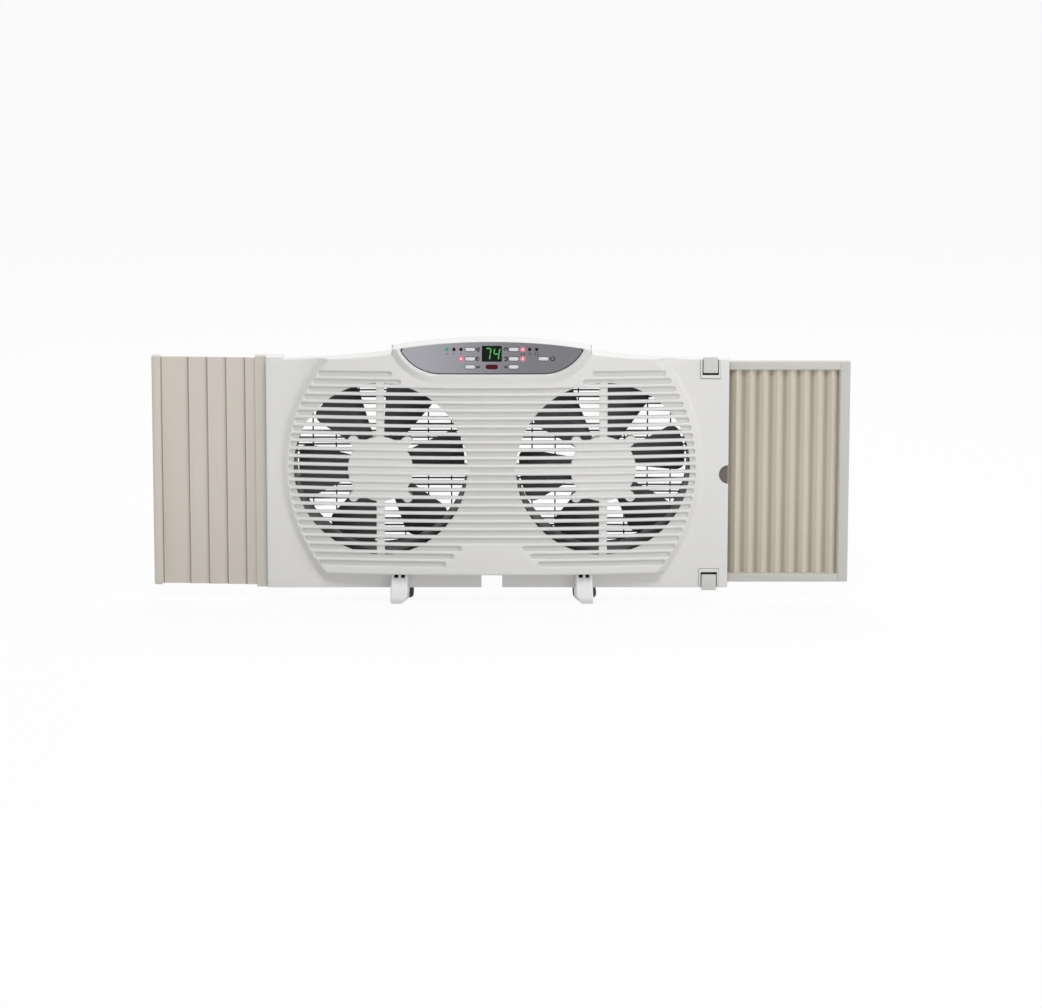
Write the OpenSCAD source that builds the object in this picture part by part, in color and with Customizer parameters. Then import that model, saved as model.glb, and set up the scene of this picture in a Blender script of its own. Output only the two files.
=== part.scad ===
// Twin window fan with a telescoping slat panel on the left and a pleated sliding panel on the right.
// X runs to the right as seen from the room, the front faces -Y, Z is up.
// The origin is the middle of the flat underside that rests on the window sill.

/* [Fans] */
// Diameter swept by each impeller
fan_d = 226; // [216:1:232]
// Distance between the two fan axes
fan_pitch = 300; // [294:1:320]
// Gap between the blade tips and the air ring
tip_gap = 4.5; // [3:0.5:6]
// Wall of each air ring
ring_wall = 4; // [3:0.5:5]
// Number of blades on each impeller
blade_count = 6; // [4:1:7]
// Angle that one blade covers, in degrees
blade_angle = 38; // [30:1:46]
// Blade tilt against the plane of the fan, in degrees
blade_tilt = 24; // [16:1:26]
// Thickness of a blade
blade_t = 2; // [1.6:0.1:3]
// Radius of the curve across a blade
camber_r = 130; // [110:5:200]
// Start angle of the first blade on the left fan, in degrees
left_phase = 48; // [0:1:59]
// Start angle of the first blade on the right fan, in degrees
right_phase = -8; // [-30:1:29]
// Diameter of the impeller hub
hub_d = 66; // [56:1:74]
// Length of the impeller hub
hub_len = 24; // [20:1:26]
// Wall of the impeller hub
hub_wall = 2.5; // [2:0.5:4]
// Diameter of the round boss inside the hub
boss_d = 18; // [14:1:24]

/* [Motors] */
// Diameter of the motor case
motor_d = 80; // [74:1:84]
// Length of the motor case
motor_len = 30; // [28:1:32]
// Wall of the motor case
motor_wall = 3; // [2:0.5:4]
// Outer diameter of the stator
stator_d = 62; // [54:1:66]
// Diameter of the rotor core
rotor_d = 30; // [24:1:36]
// Diameter of the motor shaft
shaft_d = 8; // [6:0.5:10]
// Outer diameter of the shaft bearings
bearing_d = 16; // [14:1:20]
// Length of each shaft bearing
bearing_len = 5; // [4:0.5:6]
// Free space between motor and hub
hub_gap = 3; // [2:0.5:4]
// Sideways distance of the motor's screw ears from its axis
ear_x = 36.5; // [35:0.5:38]
// Upright distance of the motor's screw ears from its axis
ear_z = 38.5; // [37:0.5:40]
// Radius of a screw ear
ear_r = 6.8; // [6:0.2:7.6]
// Thickness of the motor's ear plate
ear_t = 3; // [2:0.5:4]
// Diameter of the motor screws
motor_screw_d = 4; // [3:0.5:4.5]

/* [Housing] */
// Depth of the rear shell
body_depth = 66; // [62:1:72]
// Wall of the rear shell
wall = 2.5; // [2:0.5:3.5]
// Free height between the shell's floor and the air rings
floor_gap = 23; // [21:0.5:24]
// Free space between the air rings and the shell's top
top_gap = 1; // [1:0.5:3]
// Free space between the air rings and the shell's sides
side_gap = 8; // [6:0.5:12]
// Thickness of the flat front flange
flange_t = 3; // [2.5:0.5:4]
// How far the flange reaches above the rear shell
top_margin = 22; // [22:0.5:25]
// How far the lip hangs below the underside
lip_drop = 20; // [19.5:0.5:21]
// How far the flange reaches past the shell on the left
left_margin = 23; // [21:0.5:26]
// Width of the pockets that take the side panels
pocket_w = 38; // [38:0.5:44]
// Depth of the flange's return edge
skirt_depth = 12; // [10:0.5:13]
// Thickness of the flange's return edge
skirt_t = 2; // [1.5:0.5:2.5]
// Radius of the finger notch in the right edge
finger_r = 14; // [11:0.5:17]
// Height of the finger notch above the underside
finger_z = 136; // [110:1:170]
// Width of the notch in the lip
notch_w = 28; // [20:1:40]
// Diameter of the case screws
case_screw_d = 4; // [3:0.5:5]
// Distance of the case screws from the shell's corners
corner_inset = 16; // [14:1:20]

/* [Domed grille] */
// Height of the dome's side edge over the flange
side_rise = 6; // [4:0.5:9]
// Rise of the dome from its sides to its middle
dome_rise = 22; // [16:1:24]
// Thickness of the domed front
skin_t = 5; // [4.5:0.5:6]
// Depth of the blind grooves
groove_depth = 3; // [2:0.5:3.5]
// Wall at the side of the dome
bulge_wall = 2.5; // [2:0.5:3.5]
// Radius of the dome's rounded ends
bulge_r = 230; // [215:1:245]
// How far the slots stop short of the dome's edge
slot_margin = 6; // [4:0.5:9]
// Height of the dome's lower edge above the underside
bulge_lift = 2.3; // [1.5:0.1:3]
// Distance from one bar to the next
bar_pitch = 10.8; // [10:0.1:12]
// Open height of a slot between two bars
slot_h = 6.3; // [5:0.1:7.4]
// Number of slot rows above and below the fan axis
slot_rows = 12; // [10:1:12]
// Radius of the plate that carries each motor
hub_plate_r = 44; // [42:0.5:46]
// Width of the upright struts
strut_w = 11; // [8:0.5:14]
// Half width of the bare field under the middle of the grille
bare_half_w = 41.5; // [30:0.5:60]

/* [Control hump] */
// Rise of the hump over the flange's top edge
hump_rise = 28.2; // [26:0.2:29]
// Radius of the hump's top
hump_r = 820; // [760:10:1000]
// Half width of the hump's round part
hump_half_w = 135; // [134:1:137]
// Rise of the shoulders over the flange's top edge beside the hump
shoulder_rise = 10.5; // [9:0.5:12]
// Run-out length of the hump's shoulders
shoulder_len = 72; // [60:1:80]
// Half width of the flat bottom of the control panel
panel_flat = 70; // [64:1:76]
// Radius of the control panel's lower corners
panel_corner_r = 59; // [56:1:60]
// Height of the control panel's bottom above the rear shell
panel_lift = 6; // [5:0.5:7]
// Thickness of the control panel
panel_t = 3; // [2:0.5:3.5]
// Width of the bead around the control panel
bead_w = 4.5; // [3:0.5:5.5]
// Height of the bead around the control panel
bead_h = 1.5; // [1:0.5:2.5]
// Distance that the upper slots keep from the bead
slot_clear = 25.5; // [20:0.5:32]
// Width of the display window
display_w = 26.8; // [22:0.2:30]
// Height of the display window
display_h = 21.7; // [18:0.1:24]
// Width of a button
button_w = 13.4; // [11:0.2:15]
// Height of a button
button_h = 4.7; // [4:0.1:5.4]
// How far a button stands out of the panel
button_proud = 1.4; // [1:0.1:2]
// Stroke of a button
button_stroke = 0.8; // [0.5:0.1:1]
// Diameter of an indicator light
lamp_d = 4; // [3:0.2:5]
// Thickness of the circuit boards
board_t = 1.6; // [1:0.2:2]

/* [Left slat panel] */
// Shown width of the middle slats
slat_step = 25.7; // [24:0.1:25.7]
// Shown width of the slat nearest the housing
first_show = 14.3; // [12:0.1:20]
// Shown width of the last slat
last_show = 36.7; // [34:0.1:36.7]
// Overlap of neighbouring slats
slat_overlap = 6; // [4:0.5:6]
// Thickness of a slat
slat_t = 1.6; // [1.2:0.1:1.8]
// Distance from one slat layer to the next
slat_layer = 2.2; // [2.1:0.1:2.2]
// Width of the end bar
bar_w = 11.5; // [9:0.5:16]
// Depth of the end bar
bar_depth = 16; // [14:0.5:18]
// Wall of the slat channel
channel_wall = 2; // [1.6:0.1:2.4]
// How far the end bar stops short of the lip's lower edge
bar_end_inset = 1.2; // [1:0.1:2]

/* [Right pleated panel] */
// Free width of the pleats past the housing's edge
pleat_reach = 150; // [120:1:150]
// Number of pleats
pleat_count = 10; // [8:1:12]
// Half depth of the pleats
pleat_amp = 3.6; // [2.5:0.1:4]
// Thickness of the pleated sheet
pleat_t = 0.9; // [0.7:0.1:1.2]
// Height of the rails
rail_h = 11.2; // [9:0.1:11.2]
// Depth of the rails
rail_depth = 12; // [10:0.5:12.5]
// Width of the end stile
stile_w = 14; // [12:0.5:20]
// Length of rail left in its guide when pulled out
rail_grip = 28; // [20:1:32]
// Gap between the rear shell's underside and the lower rail
rail_lift = 3; // [1.2:0.1:3.2]
// Setback of the rails behind the flange's front
rail_setback = 10; // [8:0.5:11]
// Wall of the rail guides
guide_wall = 2; // [1.5:0.1:2.3]

/* [Locks] */
// Width of a lock tab
tab_w = 19.8; // [16:0.2:21]
// Height of a lock tab
tab_h = 21.6; // [18:0.2:22]
// Height of the rim around a lock tab
tab_rim_h = 2; // [1:0.5:3]
// Width of the rim around a lock tab
tab_rim_w = 2; // [1.5:0.5:3]
// Stroke of a lock tab
lock_stroke = 2; // [1:0.2:2]
// Thickness of a lock tab's foot
lock_foot_t = 2; // [1.6:0.1:2.2]

/* [Feet] */
// Distance of each foot from the middle
foot_x = 125; // [112:1:126]
// Width of a foot
foot_w = 25; // [20:0.5:26]
// Width of the rubber shoe
shoe_w = 32; // [31:0.5:34]
// How far the shoes stand off to the right of the feet
shoe_shift = 2; // [0:0.1:2]
// Height of the feet below the underside
foot_drop = 42; // [40:1:46]
// Height of the rubber shoe
shoe_h = 13; // [10:0.5:14]
// Depth of the dock that takes a foot
dock_depth = 1; // [0.6:0.1:1.4]

/* [Back] */
// Thickness of the rear guards
guard_t = 3; // [2:0.5:4]
// Distance between the level bars of a rear guard
guard_pitch = 9.4; // [8:0.1:12]
// Distance between the upright bars of a rear guard
guard_cross = 31.6; // [24:0.2:40]
// Thickness of a rear guard's bars
guard_bar = 1.8; // [1.4:0.1:2.4]
// Width of a rear guard's outer ring
guard_rim = 6.5; // [5:0.5:9]
// Bore of the cord bush
cord_bore_d = 7.2; // [6:0.1:9]
// Sideways place of the cord bush
cord_x = 98; // [90:1:104]
// Height of the cord bush above the underside
cord_z = 15; // [14:0.5:17]

/* [Hidden] */
$fn = 96;
clear = 0.3;
snug = 0.15;
run_fit = 0.03;
big = 400;
dome_fn = 900;
end_fn = 240;

// heights and half widths, from the fans outwards
ring_r = fan_d / 2 + tip_gap;
ring_out_r = ring_r + ring_wall;
axis_z = wall + floor_gap + ring_out_r;
shell_h = axis_z + ring_out_r + top_gap + wall;
shell_half = fan_pitch / 2 + ring_out_r + side_gap + wall;
flange_top = shell_h + top_margin;
edge_left = -(shell_half + left_margin);
edge_right = shell_half + pocket_w;
channel_left = -(shell_half + pocket_w);

// depths, from the back to the front
y_back = body_depth / 2;
y_plate = y_back - wall;
y_seat = -body_depth / 2;
y_face = y_seat - flange_t;
y_skirt = y_seat + skirt_depth;
bulge_half = shell_half - 1;
bulge_cx = bulge_half - bulge_r;
y_nose = y_face - side_rise - dome_rise;
dome_r = (bulge_half * bulge_half + dome_rise * dome_rise) / (2 * dome_rise);
slot_end_r = bulge_r - slot_margin;
function dome_y(x) = y_nose + dome_r - sqrt(dome_r * dome_r - x * x);

// motor and impeller, one behind the other
y_motor = y_face - 8;
y_core_0 = y_motor + motor_wall + bearing_len;
y_core_1 = y_motor + motor_len - motor_wall - bearing_len;
y_hub = y_motor + motor_len + hub_gap;
y_fan = y_hub + hub_len / 2;
y_ring = dome_y(fan_pitch / 2 + ring_out_r) + skin_t + clear;
nut_len = 5;
nut_af = 13;

// control panel
hump_top = flange_top + hump_rise;
hump_side_z = hump_top - hump_r + sqrt(hump_r * hump_r - hump_half_w * hump_half_w);
shoulder_run = -edge_left - hump_half_w - 1;
shoulder_steps = 12;
panel_z = shell_h + panel_lift;
row_top = hump_top - 11;
row_mid = hump_top - 23.7;
row_low = hump_top - 34.6;
col_button = 29.1;
col_power = 69;
lamp_cols = [41.3, 50.6, 59.9];
post_x = 84;
display_z = hump_top - 16.8;
ir_w = 17;
ir_h = 7;
y_panel_back = y_nose + snug + panel_t;
y_board = y_panel_back + 11;
board_half_w = post_x + 5;
post_r = 3;
board_margin = 4;
switch_h = 3.5;
switch_r = 2.2;
button_rim = 1.2;
button_rim_t = 1.5;
base_half_w = button_w / 2 + button_rim;
window_t = 2.35;
board_head_r = 2.55;
board_head_h = 1.6;
button_places = [
    [-col_button, row_top], [-col_button, row_mid], [-col_button, row_low],
    [col_button, row_top], [col_button, row_mid], [col_button, row_low],
    [col_power, row_mid]
];
green_lamps = [[-lamp_cols[2], row_top]];
red_lamps = [[-lamp_cols[0], row_mid], [lamp_cols[0], row_top], [lamp_cols[0], row_mid]];
dark_lamps = [
    [-lamp_cols[1], row_top], [-lamp_cols[0], row_top],
    [lamp_cols[1], row_top], [lamp_cols[2], row_top]
];
cover_left_inset = 56;
cover_left_x = cover_left_inset - shell_half;
guide_start = hump_half_w + 6;

// left slat panel
slat_count = 5;
y_channel = y_skirt;
y_slat = y_channel + channel_wall + clear * 2;
slat_w = slat_step + slat_overlap;
slat_bottom = -lip_drop + clear * 1.5;
slat_top = flange_top - clear * 1.5;
y_channel_back = y_slat + slat_count * slat_layer + clear;
bar_inner = channel_left - first_show - (slat_count - 2) * slat_step - last_show;
bar_outer = bar_inner - bar_w;

// right pleated panel
stile_inner = edge_right + pleat_reach;
stile_outer = stile_inner + stile_w;
y_rail = y_face + rail_setback;
y_pleat = y_rail + rail_depth / 2;
rail_bottom = -rail_lift - rail_h;
rail_top = flange_top - 5;
y_guide_back = y_rail + rail_depth + clear * 2;
pleat_start = shell_half + guide_wall + 0.6;

// locks
tab_x = edge_right - 25.5;
tab_y = y_face - clear;
tab_t = 3;
tab_gap = 1.2;
tab_foot_half = 5;
tab_slot_half = 5.4;
tab_room_half = 6;
upper_tab_z = flange_top + 3 - tab_h;
lower_tab_z = -lip_drop - 3;
upper_foot_z = rail_top + lock_stroke + 0.5;
lower_foot_z = rail_bottom - lock_stroke - lock_foot_t - 0.6;

// feet
y_heel = y_back - 5;
y_shoe = -5;
lip_clear = 0.4;
toe_reach = 14;
toe_h = 10;
toe_round = 100;
sole_rise = 1;
grip_x = 5;
grip_w = 7;
grip_depth = 8;

// screws and posts
case_x = shell_half - corner_inset;
case_low = corner_inset;
case_high = shell_h - corner_inset;
case_places = [[-case_x, case_low], [case_x, case_low], [-case_x, case_high], [case_x, case_high]];
column_r = case_screw_d / 2 + 3;
case_head_r = case_screw_d / 2 + 1.8;
case_head_h = 3;
case_grip = 15;
motor_head_r = motor_screw_d / 2 + 1.7;
motor_head_h = 2.5;
boss_len = 10;
board_screw_r = 1.25;
power_board_z = wall + 4;
power_board_w = 120;
power_board_d = 46;
power_post_r = 3;
transformer_size = [40, 32, 32];
capacitor_x = 38;
capacitor_size = [20, 16, 16];

// cord bush
bush_neck = 2.6;
bush_flange = 5;
bush_flange_t = 2;

// ---------- shared shapes ----------

// A flat X-Z outline, made solid from depth y0 to depth y1.
module xz(y0, y1) translate([0, y1, 0]) rotate([90, 0, 0]) linear_extrude(y1 - y0) children();

// A round bar along the depth.
module rod(r, y0, y1, x = 0, z = 0) translate([x, y1, z]) rotate([90, 0, 0]) cylinder(r = r, h = y1 - y0);

// A box given by its lowest and highest corner.
module block(low, high) translate(low) cube(high - low);

// A slot outline with round ends, from x0 to x1 around height z.
module slot_2d(x0, x1, z, h) {
    translate([x0 + h / 2, z - h / 2]) square([x1 - x0 - h, h]);
    translate([x0 + h / 2, z]) circle(d = h);
    translate([x1 - h / 2, z]) circle(d = h);
}

// Everything behind the dome's curved surface, sunk by the given depth.
module behind_dome(sink) translate([0, y_nose + dome_r, -big / 2])
    cylinder(r = dome_r - sink, h = 2 * big, $fn = dome_fn);

// Front outline of the whole cover, with the hump on its top edge.
module cover_2d() {
    translate([edge_left, -lip_drop]) square([edge_right - edge_left, flange_top + lip_drop]);
    intersection() {
        translate([0, hump_top - hump_r]) circle(r = hump_r, $fn = dome_fn);
        translate([-hump_half_w, flange_top - 1]) square([2 * hump_half_w, hump_rise + 1]);
    }
    for (side = [-1, 1]) shoulder_2d(side);
}

// A shoulder starts below the hump's side and falls away exponentially to the flange's top edge.
function shoulder(t) = shoulder_rise * (exp(-t / shoulder_len) - exp(-shoulder_run / shoulder_len))
    / (1 - exp(-shoulder_run / shoulder_len));
module shoulder_2d(side) {
    run = shoulder_run;
    polygon(concat(
        [[side * (hump_half_w - 1), flange_top - 1]],
        [[side * (hump_half_w - 1), flange_top + shoulder_rise]],
        [for (i = [0:shoulder_steps])
            [side * (hump_half_w + run * i / shoulder_steps), flange_top + shoulder(run * i / shoulder_steps)]],
        [[side * (hump_half_w + run), flange_top - 1]]
    ));
}

// Outline of the domed part, drawn in by the given inset.
module bulge_2d(inset) intersection() {
    union() {
        for (side = [-1, 1]) translate([side * bulge_cx, axis_z]) circle(r = bulge_r - inset, $fn = end_fn);
        translate([-bulge_cx, axis_z - bulge_r + inset]) square([2 * bulge_cx, 2 * (bulge_r - inset)]);
    }
    translate([0, -inset]) cover_2d();
    translate([-big, bulge_lift + inset]) square([2 * big, big]);
}

// ---------- front cover ----------

function row_z(k) = axis_z + k * bar_pitch;
function row_end(k) = bulge_cx + sqrt(slot_end_r * slot_end_r - k * k * bar_pitch * bar_pitch);

// Inner end of a slot row: 0 means that the row runs across the whole front.
// The two top rows end round the control panel and the three lowest end beside the bare field.
function row_start(k) =
    k >= slot_rows - 1 ? beside_panel(panel_z + panel_corner_r - row_z(k)) :
    k <= 2 - slot_rows ? bare_half_w - (k + slot_rows - 2) * bar_pitch : 0;
function beside_panel(drop) = panel_flat + sqrt(pow(panel_corner_r + bead_w + slot_clear, 2) - drop * drop);

module slots_2d() for (k = [-slot_rows:slot_rows]) {
    if (row_start(k) == 0) slot_2d(-row_end(k), row_end(k), row_z(k), slot_h);
    else for (side = [0, 1]) mirror([side, 0]) slot_2d(row_start(k), row_end(k), row_z(k), slot_h);
}

// The plate behind the bars that carries a motor, with its four ears.
module hub_plate_2d(r) {
    circle(r = r);
    for (sx = [-1, 1], sz = [-1, 1]) {
        translate([sx * ear_x, sz * ear_z]) circle(r = ear_r);
        rotate(sx * sz * atan2(ear_z, ear_x)) translate([-norm([ear_x, ear_z]), -ear_r * 0.8])
            square([2 * norm([ear_x, ear_z]), ear_r * 1.6]);
    }
}

module struts_2d() {
    for (side = [-1, 1]) translate([side * fan_pitch / 2, axis_z]) {
        hub_plate_2d(hub_plate_r);
        translate([-strut_w / 2, -ring_r - 1]) square([strut_w, 2 * ring_r + 2]);
    }
    translate([-fan_pitch / 2, axis_z - bar_pitch / 2 - (bar_pitch - slot_h) / 2])
        square([fan_pitch, 2 * bar_pitch - slot_h]);
}

module apertures_2d(r) for (side = [-1, 1])
    translate([side * fan_pitch / 2, axis_z]) circle(r = r, $fn = end_fn);

module panel_2d(grow) intersection() {
    union() {
        translate([-panel_flat, panel_z - grow]) square([2 * panel_flat, big]);
        for (side = [-1, 1]) translate([side * panel_flat, panel_z + panel_corner_r])
            circle(r = panel_corner_r + grow, $fn = end_fn);
    }
    translate([0, hump_top - hump_r]) circle(r = hump_r - 1, $fn = dome_fn);
}

module lock_rim_2d(z0, z1) translate([tab_x - tab_w / 2 - tab_gap - tab_rim_w, z0])
    square([tab_w + 2 * (tab_gap + tab_rim_w), z1 - z0]);

module lock_well_2d(z0, z1) translate([tab_x - tab_w / 2 - tab_gap, z0]) square([tab_w + 2 * tab_gap, z1 - z0]);

module front_bezel() color([0.86, 0.86, 0.85]) {
    difference() {
        union() {
            xz(y_face, y_seat) cover_2d();
            intersection() {
                xz(y_nose - 1, y_seat) bulge_2d(0);
                behind_dome(0);
            }
            intersection() {
                xz(y_nose - bead_h - 1, y_nose + skin_t + 10) difference() {
                    panel_2d(bead_w);
                    panel_2d(0);
                }
                behind_dome(-bead_h);
            }
            // return edges along the top, at the hump's sides and along the left side
            xz(y_seat, y_skirt) difference() {
                cover_2d();
                translate([0, -skirt_t]) cover_2d();
                translate([-big, -lip_drop - 1]) square([2 * big, lip_drop + flange_top / 2]);
            }
            for (side = [-1, 1]) {
                x = side > 0 ? hump_half_w - skirt_t : -hump_half_w;
                block([x, y_seat, flange_top + shoulder_rise - 2 * skirt_t],
                    [x + skirt_t, y_skirt, hump_side_z - skirt_t / 2]);
            }
            xz(y_seat, y_skirt) translate([edge_left, -lip_drop]) square([skirt_t, flange_top + lip_drop]);
            // raised rims round the two lock tabs
            xz(y_face - tab_rim_h, y_face) {
                lock_rim_2d(upper_tab_z - lock_stroke - tab_gap - tab_rim_w, flange_top);
                lock_rim_2d(-lip_drop, lower_tab_z + tab_h + lock_stroke + tab_gap + tab_rim_w);
            }
        }
        // hollow behind the domed front
        intersection() {
            xz(y_nose - 1, y_seat + 1) bulge_2d(bulge_wall);
            behind_dome(skin_t);
        }
        // grooves, blind over the solid front and open over the fans
        difference() {
            xz(y_nose - 5, y_seat) slots_2d();
            behind_dome(groove_depth);
        }
        xz(y_nose - 5, y_seat - 1) difference() {
            intersection() {
                slots_2d();
                apertures_2d(ring_r);
            }
            struts_2d();
        }
        // seat and window of the control panel
        difference() {
            xz(y_nose - 5, y_seat) panel_2d(snug);
            behind_dome(panel_t + snug);
        }
        xz(y_nose - 5, y_seat) panel_2d(-2);
        // wells and feet slots of the lock tabs
        xz(y_face - tab_rim_h - 1, y_face) {
            lock_well_2d(upper_tab_z - lock_stroke - tab_gap, flange_top + 1);
            lock_well_2d(-lip_drop - 1, lower_tab_z + tab_h + lock_stroke + tab_gap);
        }
        block([tab_x - tab_slot_half, y_face - 1, upper_foot_z - lock_stroke - clear],
            [tab_x + tab_slot_half, y_skirt + 1, flange_top + 1]);
        block([tab_x - tab_slot_half, y_face - 1, -lip_drop - 1],
            [tab_x + tab_slot_half, y_skirt + 1, lower_foot_z + lock_foot_t + lock_stroke + clear]);
        // finger notch in the right edge and square notch in the lip
        rod(finger_r, y_face - 1, y_seat + 1, edge_right, finger_z);
        block([-notch_w / 2, y_face - 1, -lip_drop - 1], [notch_w / 2, y_seat + 1, bulge_lift - 0.4]);
    }
    // ribs behind the upright struts and bosses for the motor screws
    intersection() {
        xz(y_nose, y_motor - 2) for (side = [-1, 1]) translate([side * fan_pitch / 2, axis_z]) difference() {
            translate([-strut_w / 2, -ring_r - 4]) square([strut_w, 2 * ring_r + 8]);
            circle(r = hub_plate_r - 3);
        }
        behind_dome(groove_depth);
    }
    for (side = [-1, 1], sx = [-1, 1], sz = [-1, 1])
        translate([side * fan_pitch / 2 + sx * ear_x, 0, axis_z + sz * ear_z]) difference() {
            intersection() {
                rod(ear_r, y_nose, y_motor);
                translate([-(side * fan_pitch / 2 + sx * ear_x), 0, 0]) behind_dome(groove_depth);
            }
            rod(motor_screw_d / 2 + 0.1, y_motor - 6, y_motor + 1);
        }
    // bosses that take the case screws
    for (p = case_places) difference() {
        rod(column_r, y_seat - 0.5, y_seat + boss_len, p[0], p[1]);
        rod(case_screw_d / 2 + 0.1, y_seat + 1, y_seat + boss_len + 1, p[0], p[1]);
    }
}

// ---------- rear shell ----------

// Moves a shape from the origin to the fan on the given side.
module at_fan(side) translate([side * fan_pitch / 2, 0, axis_z]) children();

// The band that goes round the fans, with posts for the power board on its floor.
module rear_shell() color([0.84, 0.84, 0.83]) difference() {
    union() {
        difference() {
            block([-shell_half, y_seat, 0], [shell_half, y_plate, shell_h]);
            block([-shell_half + wall, y_seat - 1, wall], [shell_half - wall, y_plate + 1, shell_h - wall]);
        }
        for (sx = [-1, 1], sy = [-1, 1])
            translate([sx * (power_board_w / 2 - 6), sy * (power_board_d / 2 - 6), wall - 1])
                cylinder(r = power_post_r, h = power_board_z - wall + 1);
    }
    foot_grooves();
}

// Cross grooves that take the feet.
module foot_grooves() for (side = [-1, 1])
    block([side * foot_x - foot_w / 2 - clear, y_seat - 1, -1],
        [side * foot_x + foot_w / 2 + clear, y_back + 1, dock_depth]);

// The back, whose four columns take the case screws and clamp the band to the front.
module rear_plate() color([0.84, 0.84, 0.83]) difference() {
    union() {
        block([-shell_half, y_plate, 0], [shell_half, y_back, shell_h]);
        for (p = case_places) rod(column_r, y_seat + boss_len, y_back - 1, p[0], p[1]);
    }
    apertures_cut();
    foot_grooves();
    for (p = case_places) {
        rod(case_screw_d / 2 + 0.2, y_seat, y_back + 1, p[0], p[1]);
        rod(case_head_r + clear, y_seat + case_grip + boss_len, y_back + 1, p[0], p[1]);
    }
    rod(cord_bore_d / 2 + bush_neck + snug, y_plate - 1, y_back + 1, cord_x, cord_z);
}

module apertures_cut() xz(y_plate - 1, y_back + 1) apertures_2d(ring_r);

module rear_guards() color([0.25, 0.25, 0.26]) xz(y_back, y_back + guard_t)
    for (side = [-1, 1]) translate([side * fan_pitch / 2, axis_z]) {
        difference() {
            circle(r = ring_r + guard_rim - 1, $fn = end_fn);
            circle(r = ring_r - 1, $fn = end_fn);
        }
        intersection() {
            circle(r = ring_r, $fn = end_fn);
            union() {
                rows = floor(ring_r / guard_pitch);
                for (i = [-rows:rows]) translate([-ring_r, i * guard_pitch - guard_bar / 2])
                    square([2 * ring_r, guard_bar]);
                columns = floor(ring_r / guard_cross);
                for (i = [-columns:columns]) translate([i * guard_cross - guard_bar / 2, -ring_r])
                    square([guard_bar, 2 * ring_r]);
            }
        }
    }

module cord_bush() color([0.15, 0.15, 0.15]) difference() {
    union() {
        rod(cord_bore_d / 2 + bush_flange, y_back, y_back + bush_flange_t, cord_x, cord_z);
        rod(cord_bore_d / 2 + bush_neck, y_plate - 2, y_back + 1, cord_x, cord_z);
    }
    rod(cord_bore_d / 2, y_plate - 3, y_back + 3, cord_x, cord_z);
}

module case_screws() color([0.6, 0.6, 0.62]) for (p = case_places) {
    rod(case_screw_d / 2, y_seat + 2, y_seat + case_grip + boss_len + 0.5, p[0], p[1]);
    rod(case_head_r, y_seat + case_grip + boss_len, y_seat + case_grip + boss_len + case_head_h, p[0], p[1]);
}

module air_ring(side) color([0.3, 0.3, 0.31]) at_fan(side) difference() {
    rod(ring_out_r, y_ring, y_plate, $fn = end_fn);
    rod(ring_r, y_ring - 1, y_back, $fn = end_fn);
}

// ---------- motors and impellers ----------

module motor_case(side) color([0.7, 0.7, 0.71]) at_fan(side) difference() {
    union() {
        rod(motor_d / 2, y_motor, y_motor + motor_len);
        xz(y_motor, y_motor + ear_t) hub_plate_2d(motor_d / 2);
    }
    rod(stator_d / 2, y_core_0, y_core_1);
    for (y = [y_motor + motor_wall, y_core_1])
        rod(bearing_d / 2, y - 0.01, y + bearing_len + 0.01);
    rod(shaft_d / 2 + 1, y_motor + motor_wall - 0.5, y_motor + motor_len + 1);
    for (sx = [-1, 1], sz = [-1, 1])
        rod(motor_screw_d / 2 + 0.2, y_motor - 1, y_motor + ear_t + 1, sx * ear_x, sz * ear_z);
}

module stator(side) color([0.72, 0.42, 0.25]) at_fan(side) difference() {
    rod(stator_d / 2, y_core_0 + 1, y_core_1 - 1);
    rod(rotor_d / 2 + 0.5, y_motor, y_motor + motor_len);
}

module bearings(side) color([0.75, 0.6, 0.3]) at_fan(side)
    for (y = [y_motor + motor_wall, y_core_1]) difference() {
        rod(bearing_d / 2, y, y + bearing_len);
        rod(shaft_d / 2 + run_fit, y - 1, y + bearing_len + 1);
    }

module rotor_shaft(side) color([0.75, 0.75, 0.77]) at_fan(side) {
    rod(shaft_d / 2, y_motor + motor_wall, y_hub + hub_len + nut_len + 1);
    rod(rotor_d / 2, y_core_0 + 1.5, y_core_1 - 1.5);
}

module blade_sector_2d() intersection() {
    circle(r = fan_d / 2, $fn = end_fn);
    polygon([[0, 0], [fan_d, 0], [fan_d, fan_d * tan(blade_angle)]]);
}

// A blade is a slice of a curved sheet, tilted about the radius through its middle.
module blade() intersection() {
    linear_extrude(hub_len * 3, center = true) blade_sector_2d();
    rotate(blade_angle / 2) rotate([blade_tilt, 0, 0])
        translate([hub_d / 2 - 5, 0, -camber_r]) rotate([0, 90, 0]) difference() {
            cylinder(r = camber_r, h = fan_d / 2, $fn = end_fn);
            translate([0, 0, -1]) cylinder(r = camber_r - blade_t, h = fan_d, $fn = end_fn);
        }
}

module impeller(side, phase) color([0.27, 0.26, 0.27]) at_fan(side) difference() {
    union() {
        difference() {
            rod(hub_d / 2, y_hub, y_hub + hub_len);
            rod(hub_d / 2 - hub_wall, y_hub - 1, y_hub + hub_len - hub_wall);
        }
        rod(boss_d / 2, y_hub, y_hub + hub_len);
        difference() {
            translate([0, y_fan, 0]) rotate([90, 0, 0])
                for (i = [0:blade_count - 1]) rotate(phase + i * 360 / blade_count) blade();
            rod(hub_d / 2 - hub_wall / 2, y_hub - hub_len, y_hub + 2 * hub_len);
        }
    }
    rod(shaft_d / 2, y_hub - 1, y_hub + hub_len + 1);
}

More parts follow.
